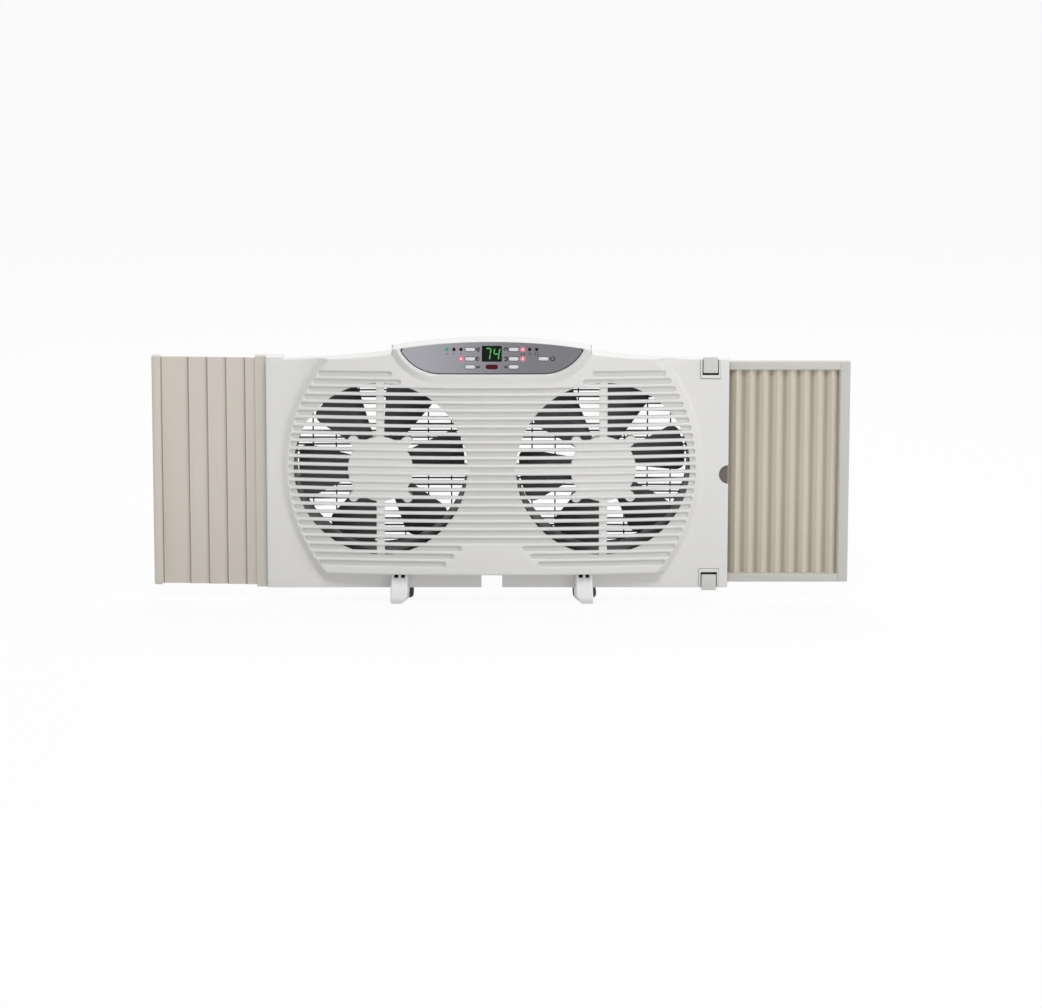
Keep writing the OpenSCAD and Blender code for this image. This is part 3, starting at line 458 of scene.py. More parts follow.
# %% [markdown]
# ## The finishes
#
# One function turns a colour, a gloss and a grain into a finished plastic. The
# Principled shader stays in the material and only what changes over the
# surface comes out of the groups. Colours are written from 0 to 255, as they
# look on the real fan under plain light.

# %% Plastic, metal and lit lenses
EDGE_GAIN, EDGE_LIFT = 1.15, 0.03


def place_group(tree, group, **values):
    """One use of a group with its own values; an underscore stands for the space in a socket's name."""
    node = tree.nodes.new("ShaderNodeGroup")
    node.node_tree = group
    for label, value in values.items():
        node.inputs[label.replace("_", " ")].default_value = value
    return node


def new_material(name):
    """A new material with its node tree and its Principled shader."""
    material = bpy.data.materials.new(name)
    material.use_nodes = True
    return material, material.node_tree, material.node_tree.nodes["Principled BSDF"]


def connect(tree, surface, colour, shader, strength, distance):
    """Joins a surface group to the shader: its colour, its roughness, and its height through a bump."""
    tree.links.new(colour, shader.inputs["Base Color"])
    tree.links.new(surface.outputs["Roughness"], shader.inputs["Roughness"])
    bump = tree.nodes.new("ShaderNodeBump")
    bump.inputs["Strength"].default_value = strength
    bump.inputs["Distance"].default_value = distance
    tree.links.new(surface.outputs["Height"], bump.inputs["Height"])
    tree.links.new(bump.outputs["Normal"], shader.inputs["Normal"])


def plastic(name, screen, roughness=0.42, grain=900.0, depth=0.25, drift=0.04, wear=0.25, coat=0.0, gloss=0.4,
            shade=None, **places):
    """A moulded plastic. The grain's depth is in tenths of a millimetre. Shade is a group that paints light or shade
    into the colour first, and places are its values."""
    material, tree, shader = new_material(name)
    colour = linear(*screen)
    surface = place_group(tree, SURFACE, Colour=colour, Grain_scale=grain, Drift=drift, Roughness=roughness)
    if shade is not None:
        before = place_group(tree, shade, Colour=colour, **places)
        tree.links.new(before.outputs["Colour"], surface.inputs["Colour"])
    lighter = tuple(min(1.0, EDGE_GAIN * c + EDGE_LIFT) for c in colour[:3]) + (1.0,)
    edges = place_group(tree, EDGES, Wear=wear, Edge_colour=lighter)
    tree.links.new(surface.outputs["Colour"], edges.inputs["Colour"])
    connect(tree, surface, edges.outputs["Colour"], shader, 0.35, depth * 0.1 * MM)
    shader.inputs["Specular IOR Level"].default_value = gloss
    shader.inputs["Coat Weight"].default_value = coat
    shader.inputs["Coat Roughness"].default_value = 0.15
    return material


def metal(name, screen, roughness):
    """A metal with fine brushed lines."""
    material, tree, shader = new_material(name)
    brushed = place_group(tree, METAL, Colour=linear(*screen), Roughness=roughness)
    connect(tree, brushed, brushed.outputs["Colour"], shader, 0.2, 0.02 * MM)
    shader.inputs["Metallic"].default_value = 1.0
    return material


def lit(name, screen, glow, strength):
    """A coloured lens with a lamp behind it."""
    material = plastic(name, screen, roughness=0.2, grain=400.0, depth=0.1)
    shader = material.node_tree.nodes["Principled BSDF"]
    shader.inputs["Emission Color"].default_value = linear(*glow)
    shader.inputs["Emission Strength"].default_value = strength
    return material


print("an edge is lighter by", EDGE_GAIN, "plus", EDGE_LIFT)

# %% Finishes of the casing
bezel_plastic = plastic("Bezel, satin grey white", (224, 223, 221), roughness=0.38, coat=0.05)
shell_plastic = plastic("Casing, grained grey white", (216, 216, 213), roughness=0.5, grain=700.0, depth=0.5)
# Painted shade: the groove floors are a little darker than the bezel, for the shade under the bars.
groove_shade_plastic = plastic("Groove floors, painted shade grey white", (210, 209, 206), roughness=0.5)
# Painted shadow: thin mid grey lines beside the channel and round the lock rims, where shade falls.
shadow_line_plastic = plastic("Shadow lines, painted mid grey", (150, 150, 148), roughness=0.6, gloss=0.1)
# Painted shade: a brown grey sheet behind the finger notch.
notch_shade_plastic = plastic("Notch shade, painted brown grey", (112, 106, 101), roughness=0.6, gloss=0.1)
# Painted shade: near black sheets in the lock wells and in the feet's grip slots.
hole_shade_plastic = plastic("Openings, painted shade near black", (30, 30, 30), roughness=0.7, gloss=0.05)
tab_plastic = plastic("Lock tabs, textured grey", (206, 205, 203), roughness=0.5, grain=420.0, depth=1.0)
foot_plastic = plastic("Feet, pale grey white", (241, 240, 242), roughness=0.32)
shoe_rubber = plastic("Rubber", (78, 77, 78), roughness=0.75, grain=500.0, depth=0.6, wear=0.2)
print("finishes so far:", len(bpy.data.materials))

# %% Finishes of the control panel
# The panel is painted lighter on its left and darker on its right: a painted sheen where a lamp's reflection would
# lie.
panel_plastic = plastic("Control panel, mid grey with painted sheen", (142, 142, 148), roughness=0.4, depth=0.15, wear=0.1,
                        shade=PAINTED_SHEEN_X, Start=-0.115, End=0.06, At_start=1.42, At_end=0.70)
button_plastic = plastic("Buttons, white satin", (223, 222, 227), roughness=0.32, depth=0.1)
# Painted shade: dark grey sheets in the gaps round the lens and round the buttons.
gap_shade_plastic = plastic("Gaps, painted shade dark grey", (62, 62, 68), roughness=0.6, gloss=0.1)
ink = plastic("Printed symbols, dark grey", (46, 44, 52), roughness=0.6, depth=0.05, gloss=0.1)
display_glass = plastic("Display window, smoked", (14, 20, 13), roughness=0.3, depth=0.03, gloss=0.08)
infrared_lens = plastic("Infrared window, dark red", (78, 14, 20), roughness=0.25, depth=0.05, gloss=0.12)
dark_lens = plastic("Lamp lens, unlit", (44, 14, 26), roughness=0.2, depth=0.05, gloss=0.15)
green_lens = lit("Lamp lens, green", (40, 140, 100), (30, 160, 110), 0.35)
red_lens = lit("Lamp lens, red", (250, 150, 155), (255, 214, 216), 1.6)
near_glow = lit("Lamp glow, near", (206, 96, 100), (255, 90, 96), 0.45)
far_glow = lit("Lamp glow, far", (182, 126, 134), (255, 130, 140), 0.18)
digit_light = lit("Display digits, green", (20, 70, 30), (84, 176, 100), 0.9)
print("finishes so far:", len(bpy.data.materials))

# %% Finishes of the fans, the side panels and the inside
guard_plastic = plastic("Rear guards, near black", (52, 50, 50), roughness=0.5, wear=0.5)
ring_plastic = plastic("Air rings, dark grey", (72, 70, 70), roughness=0.55, wear=0.4)
blade_plastic = plastic("Blades, charcoal satin", (98, 95, 99), roughness=0.34, wear=0.3, coat=0.15)
slat_plastic = plastic("Slats, warm grey beige", (210, 202, 192), roughness=0.5, grain=600.0, depth=0.4)
# Painted shadow: the dark lines at the slat joints and beside the end bar.
line_plastic = plastic("Slat joint shadows, painted brown grey", (150, 140, 128), roughness=0.6, gloss=0.2)
end_plastic = plastic("End bar, grey beige", (207, 202, 192), roughness=0.5, depth=0.4)
channel_plastic = plastic("Channel, grey beige", (212, 207, 197), roughness=0.55, depth=0.4)
frame_plastic = plastic("Frame, light grey", (198, 196, 190), roughness=0.5, depth=0.4)
board_plastic = plastic("Circuit boards", (34, 92, 58), roughness=0.4)
module_plastic = plastic("Black mouldings", (30, 30, 32), roughness=0.4)
core_paint = plastic("Transformer core", (110, 106, 102), roughness=0.5)
motor_metal = metal("Motor pressings, zinc", (184, 184, 188), 0.35)
screw_metal = metal("Screws, zinc", (188, 188, 192), 0.28)
copper_wire = metal("Windings, copper", (190, 118, 78), 0.4)
bronze = metal("Bearings, bronze", (190, 152, 96), 0.4)
print("finishes:", len(bpy.data.materials))

# %% [markdown]
# ## The domed front
#
# The front cover is one moulding: a shallow dome with rows of bars, a flat
# flange round it and a lip below. A boolean cut would leave knife edges, so
# the skin is laid out as one grid whose lines run along the slots. Between
# two slots the lines make a bar, and its depth falls off near each rim by a
# quarter circle. Beyond the end of a slot the same lines close up again into
# plain surface. The columns crowd together where a slot ends.

# %% Shapes that the front follows
PANEL_CLEAR = 30.0
SHOULDER_NEAR = 90.0
FLANK_OUT, FLANK_W = 5.0, 12.0
BIG = 1e6


def ease(t):
    """Soft step from 0 to 1: three t squared less two t cubed."""
    t = np.clip(t, 0, 1)
    return t * t * (3 - 2 * t)


def dome_y(x):
    """Depth of the dome: a circle of radius DOME_R whose nearest point is in the middle."""
    return Y_NOSE + DOME_R - np.sqrt(DOME_R**2 - np.asarray(x, float) ** 2)


def hump_edge(x):
    """Height of the hump's top: a circle of radius HUMP_R whose highest point is in the middle."""
    return HUMP_TOP - HUMP_R + np.sqrt(HUMP_R**2 - np.asarray(x, float) ** 2)


def shoulder_edge(x):
    """Height of the cover's top beside the hump: an exponential that reaches the flange at its end."""
    t = np.minimum(np.maximum(np.abs(x), SHOULDER_NEAR) - HUMP_HALF_W, SHOULDER_RUN)
    last = math.exp(-SHOULDER_RUN / SHOULDER_LEN)
    return FLANGE_TOP + SHOULDER_RISE * (np.exp(-t / SHOULDER_LEN) - last) / (1 - last)


def front_y(x, z):
    """Depth of the plain front: the dome's rise over the flange, eased to nothing at its rounded sides."""
    inside = BULGE_R - np.hypot(np.maximum(np.abs(x) - BULGE_CX, 0), z - FAN_Z)
    rise = Y_FACE - dome_y(np.minimum(np.abs(x), BULGE_HALF))
    return Y_FACE - rise * ease((inside + FLANK_OUT) / FLANK_W) * (np.asarray(z) > BULGE_BOTTOM - 1e-3)


print("the dome stands out", round(float(Y_FACE - dome_y(0)), 1), "in the middle")


# %% Slots
def row_z(k):
    """Height of the middle of slot row k; row 0 lies on the fans' axes."""
    return FAN_Z + k * BAR_PITCH


def row_end(k):
    """Where slot row k ends: on a circle a little inside the dome's outline."""
    return BULGE_CX + math.sqrt(SLOT_END_R**2 - (k * BAR_PITCH) ** 2)


def row_start(k):
    """Where slot row k begins, or None where it runs right across."""
    if k >= SLOT_ROWS - 1:
        drop = PANEL_CORNER_Z - row_z(k)
        return PANEL_FLAT + math.sqrt((PANEL_CORNER_R + PANEL_CLEAR) ** 2 - drop**2)
    if k <= 2 - SLOT_ROWS:
        return BARE_HALF_W - (k + SLOT_ROWS - 2) * BAR_PITCH
    return None


def past_end(x, k):
    """How far x lies beyond the straight part of slot k."""
    past = np.maximum(np.abs(x) - (row_end(k) - SLOT_H / 2), 0)
    start = row_start(k)
    return past if start is None else np.maximum(past, start + SLOT_H / 2 - np.abs(x))


def slot_half(x, k):
    """Half the height of slot k at x: its round ends are circles of the slot's own half height."""
    if abs(k) > SLOT_ROWS:
        return np.zeros_like(x)
    return np.sqrt(np.maximum((SLOT_H / 2) ** 2 - past_end(x, k) ** 2, 0))


def rim_distance(x, z, k):
    """Distance from a point to the rim of slot k."""
    if abs(k) > SLOT_ROWS:
        return np.full_like(x, BIG)
    return np.maximum(np.hypot(past_end(x, k), z - row_z(k)) - SLOT_H / 2, 0)


def rolled(distance, r):
    """How far a rounded edge of radius r has fallen back at that distance from the edge."""
    return r - np.sqrt(r**2 - (r - np.clip(distance, 0, r)) ** 2)


print("slot ends", round(row_end(0), 1), "to", round(row_end(SLOT_ROWS), 1))

# %% Columns of the front grid
EDGE_ROUND = 2.5
NEAR_SLOT_END = np.array([-1.8, -1.0, -0.4, 0.0, 0.12, 0.45, 1.0, 2.0, 3.2])
PAST_SLOT_END = np.array([-9, -5.5, -3.2, -2.0, -1.0, -0.4, -0.1, 0, 0.5, 1.1, 1.9, 4, 6.5, 9, 11.5, 14.5])
PLAIN_END, PLAIN_COUNT, PLAIN_GAP = 205, 22, 2.5
FINGER_R, FINGER_Z = 14.0, 136.0
NOTCH_HALF = 14.0
ROLL = np.radians(np.linspace(0, 90, 5))

starts = [row_start(k) for k in range(-SLOT_ROWS, SLOT_ROWS + 1) if row_start(k) is not None]
crowded = np.concatenate([s + NEAR_SLOT_END for s in starts] + [[NOTCH_HALF]])
plain = np.linspace(0, PLAIN_END, PLAIN_COUNT)
plain = plain[np.abs(plain[:, None] - crowded[None]).min(1) > PLAIN_GAP]
inner_columns = np.unique(np.round(np.concatenate([plain, crowded]), 3))


def right_edge(z):
    """The cover's right edge at a height: straight, with a half-round finger notch."""
    inside = np.maximum(FINGER_R**2 - (z - FINGER_Z) ** 2, 0)
    return EDGE_RIGHT - math.sqrt(inside)


def columns_to(edge, end):
    """Columns from the middle to one edge, and how far each falls back where it rolls over the edge."""
    x = np.concatenate([inner_columns, end + PAST_SLOT_END])
    far = edge - EDGE_ROUND
    between = x[-1] + (far - x[-1]) * np.array([0.35, 0.7])
    x = np.concatenate([x, between, far + EDGE_ROUND * np.sin(ROLL), [edge]])
    back = np.concatenate([np.zeros(len(x) - len(ROLL) - 1), EDGE_ROUND * (1 - np.cos(ROLL)), [BIG]])
    return x, back


def line_columns(end, z_edge):
    """All columns of one line, from the left edge to the right edge."""
    left, back_left = columns_to(-EDGE_LEFT, end)
    right, back_right = columns_to(right_edge(z_edge), end)
    return np.concatenate([-left[::-1], right[1:]]), np.concatenate([back_left[::-1], back_right[1:]])


print("columns:", len(line_columns(row_end(0), 0.0)[0]))

# %% Where the lines of the front run
TOP_ROUND = 2.5
COLLAR_W = 14.0
SQUEEZED = {SLOT_ROWS - 1: 0.4, SLOT_ROWS: 0.8}
END_LOW, END_HIGH = -146.5, 149.5


def collar_line(x, q):
    """The panel's outline moved out by q: level in the middle, then a circle at each side."""
    r = PANEL_CORNER_R + q
    beyond = np.maximum(np.abs(x) - PANEL_FLAT, 0)
    line = PANEL_CORNER_Z - np.sqrt(np.maximum(r**2 - beyond**2, 0))
    return np.where(beyond < r, line, BIG)


def skin_top(x):
    """Where the plain front ends: at the collar, or just below the rounded top edge."""
    return np.minimum(collar_line(x, COLLAR_W), shoulder_edge(x) - TOP_ROUND)


def row_line(x, k):
    """Centre line of row k. Under the panel the two top rows, which have no slot there, are squeezed together."""
    z = np.full_like(x, row_z(k))
    if k in SQUEEZED:
        low = row_z(SLOT_ROWS - 2)
        z = np.minimum(z, low + SQUEEZED[k] * (skin_top(x) - low))
    return z


def bar_low(x, k):
    """Lower rim of the bar above row k: the row's centre line plus half the slot."""
    return row_line(x, k) + slot_half(x, k)


def bar_high(x, k):
    """Upper rim of the bar above row k: the next row's centre line less half its slot."""
    return row_line(x, k + 1) - slot_half(x, k + 1)


def end_at(z):
    """The slot-end circle carried on above and below the rows."""
    return BULGE_CX + math.sqrt(SLOT_END_R**2 - min(max(z - FAN_Z, END_LOW), END_HIGH) ** 2)


print("the front ends at", round(float(skin_top(np.zeros(1))[0]), 1), "in the middle")

# %% One line of the front
BAR_ROUND = 2.1


def level(z):
    """The height of a level line, as a function of x."""
    return lambda x: np.full_like(x, z)


def skin_line(end, height, slots=(), drop=0.0, flat=False):
    """Points of one line: its columns, its height as a function of x, and the depth of the skin there. The skin
    falls back in a quarter circle next to the slots that are named."""
    z_edge = float(height(np.array([EDGE_RIGHT]))[0])
    x, fallen = line_columns(end, z_edge)
    z = height(x)
    y = np.full_like(x, Y_FACE) if flat else front_y(x, z)
    gap = np.min([np.full_like(x, BIG)] + [rim_distance(x, z, k) for k in slots], axis=0)
    y = np.minimum(y + rolled(gap, BAR_ROUND), Y_FACE) + drop
    y = np.where(fallen >= BIG, np.where(x < 0, Y_SKIRT, Y_SEAT), y + fallen)
    return np.stack([x, y, z], -1)


print("points in a line:", len(skin_line(row_end(0), level(FAN_Z))))

# %% All lines of the front, from the lip up
BAR_STEPS = [0, 0.07, 0.2, 0.4, 0.6, 0.8, 0.93, 1]
TOP_STEPS = [0, 0.05, 0.12, 0.22, 0.45, 0.7, 0.88, 1]
BELOW_SLOTS = [7.0, 4.5, 2.1, 1.1, 0.4]
LIP_ROUND, BOTTOM_ROUND = 1.2, 3.0

lip = [(LIP_BOTTOM + LIP_ROUND * (1 - math.sin(t)), LIP_ROUND * (1 - math.cos(t))) for t in ROLL[::-1]]
lip += [(z, 0.0) for z in (-11.0, -4.0, BULGE_BOTTOM - 0.4, BULGE_BOTTOM)]
lines = [skin_line(end_at(z), level(z), flat=True, drop=drop) for z, drop in lip]
lip_count = len(lines)
for t in ROLL[::-1]:
    z = BULGE_BOTTOM + BOTTOM_ROUND * (1 - math.sin(t))
    points = skin_line(end_at(z), level(z + 1e-4))
    points[:, 1] = np.minimum(points[:, 1] + BOTTOM_ROUND * (1 - math.cos(t)), np.maximum(points[:, 1], Y_FACE))
    lines.append(points)
first_rim = row_z(-SLOT_ROWS) - SLOT_H / 2
lines += [skin_line(end_at(first_rim - gap), level(first_rim - gap), [-SLOT_ROWS]) for gap in BELOW_SLOTS]
lines.append(skin_line(row_end(SLOT_ROWS), lambda x: bar_high(x, -SLOT_ROWS - 1), [-SLOT_ROWS]))
first_bar = len(lines)
for k in range(-SLOT_ROWS, SLOT_ROWS):
    for f in BAR_STEPS:
        end = row_end(k) + (row_end(k + 1) - row_end(k)) * float(ease(f))
        lines.append(skin_line(end, lambda x: (1 - f) * bar_low(x, k) + f * bar_high(x, k), [k, k + 1]))
last_bar = len(lines)
for f in TOP_STEPS:
    end = row_end(SLOT_ROWS) + (end_at(FLANGE_TOP) - row_end(SLOT_ROWS)) * float(ease(f))
    lines.append(skin_line(end, lambda x: (1 - f) * bar_low(x, SLOT_ROWS) + f * skin_top(x), [SLOT_ROWS]))
print("lines:", len(lines))


# %% The rolled top edge
def over_top(points, r):
    """Rolls a last line over the top edge by a quarter circle, then runs it straight back."""
    x, y, z = points.T
    open_top = (skin_top(x) > shoulder_edge(x) - r - 1e-3).astype(float)
    rows = []
    for t in ROLL[1:]:
        depth = np.minimum(y + open_top * r * (1 - math.cos(t)), np.maximum(y, Y_FACE + r))
        rows.append(np.stack([x, depth, z + open_top * r * math.sin(t)], -1))
    rows.append(np.stack([x, np.where(open_top > 0, Y_SKIRT, y), rows[-1][:, 2]], -1))
    return rows


skin = np.array(lines + over_top(lines[-1], TOP_ROUND))
print("front grid:", skin.shape)

# %% Which cells of the front are kept
rows, columns = skin.shape[:2]


def faces_where(keep):
    """Grid faces whose cell is kept."""
    return grid_faces(keep.shape[0] + 1, keep.shape[1] + 1)[keep.reshape(-1)]


def over_slot(x, k):
    """Which cells of a line have their middle over slot k."""
    return slot_half((x[:-1] + x[1:]) / 2, k) > 0


def slot_line(k):
    """Number of the line along the lower rim of slot k."""
    return first_bar - 1 + (k + SLOT_ROWS) * len(BAR_STEPS)


keep = np.ones((rows - 1, columns - 1), bool)
for k in range(-SLOT_ROWS, SLOT_ROWS + 1):
    keep[slot_line(k)] = ~over_slot(skin[slot_line(k), :, 0], k)
cell_x = (skin[:-1, :-1, 0] + skin[1:, 1:, 0]) / 2
cell_z = (skin[:-1, :-1, 2] + skin[1:, 1:, 2]) / 2
keep &= (np.abs(cell_x) >= NOTCH_HALF) | (cell_z >= BULGE_BOTTOM - 0.4)
print("open cells:", int((~keep).sum()))


# %% Slot walls, inside and lip back
SKIN_T = 5.0


def skin_back(points):
    """The inside of the moulding: a wall thickness behind the dome, level with the seat behind the flange."""
    x, y, z = points[..., 0], points[..., 1], points[..., 2]
    inner = np.minimum(front_y(x, z) + SKIN_T, Y_SEAT)
    return np.stack([x, np.where(inner > y, np.maximum(inner, y + 0.4), inner), z], -1)


parts = [(skin, faces_where(keep))]
for k in range(-SLOT_ROWS, SLOT_ROWS + 1):
    for line, order in ((slot_line(k), 1), (slot_line(k) + 1, -1)):
        rim = skin[line]
        wall = grid_faces(2, columns)[over_slot(rim[:, 0], k)]
        deep = np.stack([rim[:, 0], skin_back(rim)[:, 1], rim[:, 2]], -1)
        parts.append(([rim, deep], wall[:, ::order]))
inner_lines = [lip_count, lip_count + 4, first_bar - 1]
for k in range(-SLOT_ROWS, SLOT_ROWS):
    inner_lines += [slot_line(k) + 1, slot_line(k + 1)]
inner_lines += [last_bar, last_bar + 3, last_bar + 7]
inside = skin_back(skin[inner_lines])
keep_back = np.ones((len(inner_lines) - 1, columns - 1), bool)
for k in range(-SLOT_ROWS, SLOT_ROWS + 1):
    line = 2 + 2 * (k + SLOT_ROWS)
    keep_back[line] = ~over_slot(inside[line, :, 0], k)
parts.append((inside, faces_where(keep_back)[:, ::-1]))
lip_back = skin[:lip_count].copy()
lip_back[..., 1] = Y_SEAT
parts.append((lip_back, faces_where(keep[:lip_count - 1])[:, ::-1]))
front_skin = put("front_cover", *joined(parts), "housing", "bezel_white", bezel_plastic, nodes=["front_bezel"],
                 sharp=math.radians(50), outward=False)
print("front cover:", len(front_skin.data.polygons), "faces")

# %% [markdown]
# ## The collar round the control panel
#
# A raised collar frames the panel: a round bead beside the lens and a flank
# that falls softly to the dome. A bent tube would show a groove where it meets
# the dome. So the collar is one profile carried along the panel's outline, it
# ends level with the skin, and at both ends it rolls over the top edge.

# %% Height and ends of the collar
COLLAR_Q = np.array([0.55, 0.6, 0.75, 1.0, 1.4, 1.9, 2.6, 3.4, 4.3, 5.3, 6.4, 7.5, 8.6, 9.6, 10.5, 11.3, 12.1,
                     13.0, COLLAR_W])
COLLAR_LIFT = 2.9
COLLAR_STEP = 9.8
COLLAR_SUNK, SUNK_WITHIN = 1.8, 0.58
CREST_AT, CREST_FURTHER, CREST_HIGHER = 2.5, 1.7, 1.4
ENDS_LIFT, ENDS_FROM, ENDS_RUN = 3.6, 74.0, 52.0
LENS_TOP_ROUND = 0.8


def ends_lift(x):
    """How far lens and collar stand out more towards their ends, where the dome falls away behind them."""
    return ENDS_LIFT * ease((np.abs(x) - ENDS_FROM) / ENDS_RUN)


def collar_top(x, q):
    """Top of the collar: the hump's circle near the lens, then a short step down to the shoulder."""
    step = ease((q - COLLAR_STEP) / (COLLAR_W - COLLAR_STEP))
    return hump_edge(x) + (shoulder_edge(x) - hump_edge(x)) * step


def collar_end(q, top_round):
    """Angle at which the panel's outline, moved out by q, meets the rounded top edge: the arc sine of the top's
    height over the radius, worked out again and again until it stays the same."""
    r = PANEL_CORNER_R + q
    angle = np.full_like(q, -0.45)
    for _ in range(60):
        top = collar_top(PANEL_FLAT + r * np.cos(angle), q) - top_round
        angle = np.arcsin(np.clip((top - PANEL_CORNER_Z) / r, -1, 1))
    return angle


def collar_lift(x, q):
    """Height of the collar over the dome: a slope that faces the lens, a round crest, then a soft flank."""
    crest = CREST_AT + CREST_FURTHER * ease((np.abs(x) - 60) / 60)
    t = np.clip(q / crest, 0, 1)
    slope = 0.12 + 0.88 * (1.25 * t - 0.25 * t**3 * (4 - 3 * t))
    fall = np.clip((q - crest) / (COLLAR_W - crest), 0, 1)
    flank = 1 - 0.4 * ease(fall) - 0.6 * fall
    height = (COLLAR_LIFT + CREST_HIGHER * ease((np.abs(x) - 60) / 50)) * slope + ends_lift(x)
    return height * flank - COLLAR_SUNK * (q < SUNK_WITHIN)


print("collar", COLLAR_W, "wide and", COLLAR_LIFT, "high, at its ends", round(float(ends_lift(130.0)), 1), "higher")


# %% Collar
def rolled_over(x, y, z, r):
    """Rows that roll over the top edge by a quarter circle of radius r, and one that runs straight back."""
    rows = [np.stack([x, y + r * (1 - math.cos(t)), z + r * math.sin(t)], -1) for t in ROLL[1:]]
    return rows + [np.stack([x, np.full_like(x, Y_SKIRT), rows[-1][:, 2]], -1)]


def collar_grid():
    """Rows along the outline, columns outward; the depth is the dome's, less the collar's lift."""
    q = COLLAR_Q
    top_round = LENS_TOP_ROUND + (TOP_ROUND - LENS_TOP_ROUND) * ease(q / 6)
    r = PANEL_CORNER_R + q
    end = collar_end(q, top_round)
    s = np.linspace(0, 1, 49)[:, None]
    angle = -math.pi / 2 + (end[None] + math.pi / 2) * s
    x = PANEL_FLAT + r * np.cos(angle)
    z = PANEL_CORNER_Z + r * np.sin(angle)
    y = dome_y(x) - collar_lift(x, q)
    half = np.concatenate([np.stack([x, y, z], -1), rolled_over(x[-1], y[-1], z[-1], top_round)])
    flat_x = np.linspace(-PANEL_FLAT, PANEL_FLAT, 15)[1:-1, None]
    flat_y = dome_y(flat_x) - collar_lift(flat_x, q)
    flat = np.stack(np.broadcast_arrays(flat_x, flat_y, PANEL_CORNER_Z - r), -1)
    return np.concatenate([half[::-1] * [-1, 1, 1], flat, half])


def top_rim(x):
    """The casing's edge above the lens: a short lip behind it, then rolled over the hump's top."""
    z, y = hump_edge(x) - LENS_TOP_ROUND, dome_y(x) + 0.1 - ends_lift(x)
    lip = np.stack([x, y + 1.5, z - 0.8], -1)
    return np.array([lip, np.stack([x, y, z], -1)] + rolled_over(x, y, z, LENS_TOP_ROUND))


collar = collar_grid()
rim = top_rim(np.linspace(collar[0, 0, 0], collar[-1, 0, 0], 61))
points, faces = joined([(collar, grid_faces(*collar.shape[:2])[:, ::-1]), (rim, grid_faces(*rim.shape[:2]))])
put("panel_collar", points, faces, "housing", "bezel_white", bezel_plastic, outward=False)
print("collar:", len(faces), "faces")

# %% [markdown]
# ## Groove floors, hub plates and struts
#
# Only over the fans are the slots open. Elsewhere each is a shallow groove
# with a floor, so one thin sheet with two round holes lies behind the bars.
# In each hole a plate with four ears carries the motor, and an upright strut
# holds the bars.

# %% Groove floors
SIDES = ((-1, "left"), (1, "right"))
GROOVE = 3.0
FLOOR_T = 2.0
FLOOR_PAST = 1.5
FLOOR_LOW, FLOOR_HIGH = BULGE_BOTTOM + SKIN_T, row_z(SLOT_ROWS) + 7.0


def edge_ray(angle, side):
    """Distance from a fan's axis to the edge of its half of the floor: the nearest of three lines and a circle."""
    c, s = np.cos(angle) * side, np.sin(angle)
    tiny = 1e-9
    middle = np.where(c < -tiny, FAN_X / np.maximum(-c, tiny), BIG)
    top = np.where(s > tiny, (FLOOR_HIGH - FAN_Z) / np.maximum(s, tiny), BIG)
    bottom = np.where(s < -tiny, (FAN_Z - FLOOR_LOW) / np.maximum(-s, tiny), BIG)
    off = (FAN_X - BULGE_CX) * c
    round_end = -off + np.sqrt(off**2 - (FAN_X - BULGE_CX) ** 2 + (SLOT_END_R + FLOOR_PAST) ** 2)
    return np.minimum(np.minimum(middle, round_end), np.minimum(top, bottom))


def floor_sheet(side):
    """A closed ring of sheet from the aperture to the edge of its half, following the dome."""
    corners = [math.atan2(z - FAN_Z, -side * FAN_X) for z in (FLOOR_LOW, FLOOR_HIGH)]
    angle = np.unique(np.concatenate([np.linspace(-math.pi, math.pi, 145)[:-1], corners]))
    far = edge_ray(angle, side)
    t = np.array([0, 0.3, 0.65, 1.0])[:, None]
    r = APERTURE_R + (far - APERTURE_R) * t
    x = side * FAN_X + r * np.cos(angle)
    z = FAN_Z + r * np.sin(angle)
    front = np.stack([x, dome_y(x) + GROOVE, z], -1)
    grid = np.concatenate([front, front[::-1] + [0, FLOOR_T, 0]])
    return grid, grid_faces(*grid.shape[:2], close_rows=True, close_columns=True)


# The floors take a darker grey white: painted shade in the grooves.
for side, label in SIDES:
    put(label + "_groove_floor", *floor_sheet(side), "housing", "bezel_white", groove_shade_plastic)
print("groove floors from radius", round(float(APERTURE_R), 1))

# %% Hub plates and struts
EAR_X, EAR_Z, EAR_R = 36.5, 38.5, 6.8
STRUT_W, STRUT_INTO = 11.0, 3.0
HUB_PLATE_T = 3.0


def ear_reach(a, x, z):
    """Radius over angle of one ear at x, z: the far side of its circle, or the rib that leads to it."""
    reach = math.hypot(x, z)
    off = np.angle(np.exp(1j * (a - math.atan2(z, x))))
    across, ahead = reach * np.sin(off), np.cos(off) > 0
    circle = reach * np.cos(off) + np.sqrt(np.maximum(EAR_R**2 - across**2, 0))
    rib = np.minimum(0.8 * EAR_R / np.maximum(np.abs(np.sin(off)), 1e-6), reach / np.maximum(np.cos(off), 1e-6))
    return np.where(ahead, np.maximum(rib, np.where(np.abs(across) < EAR_R, circle, 0)), 0)


def hub_outline(count=288):
    """Radius over angle: the plate's circle, or an ear where it reaches further."""
    a = np.arange(count) * 2 * math.pi / count
    ears = [ear_reach(a, x, z) for x in (-EAR_X, EAR_X) for z in (-EAR_Z, EAR_Z)]
    r = np.max([np.full(count, HUB_PLATE_R)] + ears, axis=0)
    return np.stack([r * np.cos(a), r * np.sin(a)], -1)


def on_dome(points):
    """Moves points back by the dome's depth at their place, so that a flat slab follows the curve."""
    out = points.copy()
    out[:, 1] += dome_y(points[:, 0])
    return out


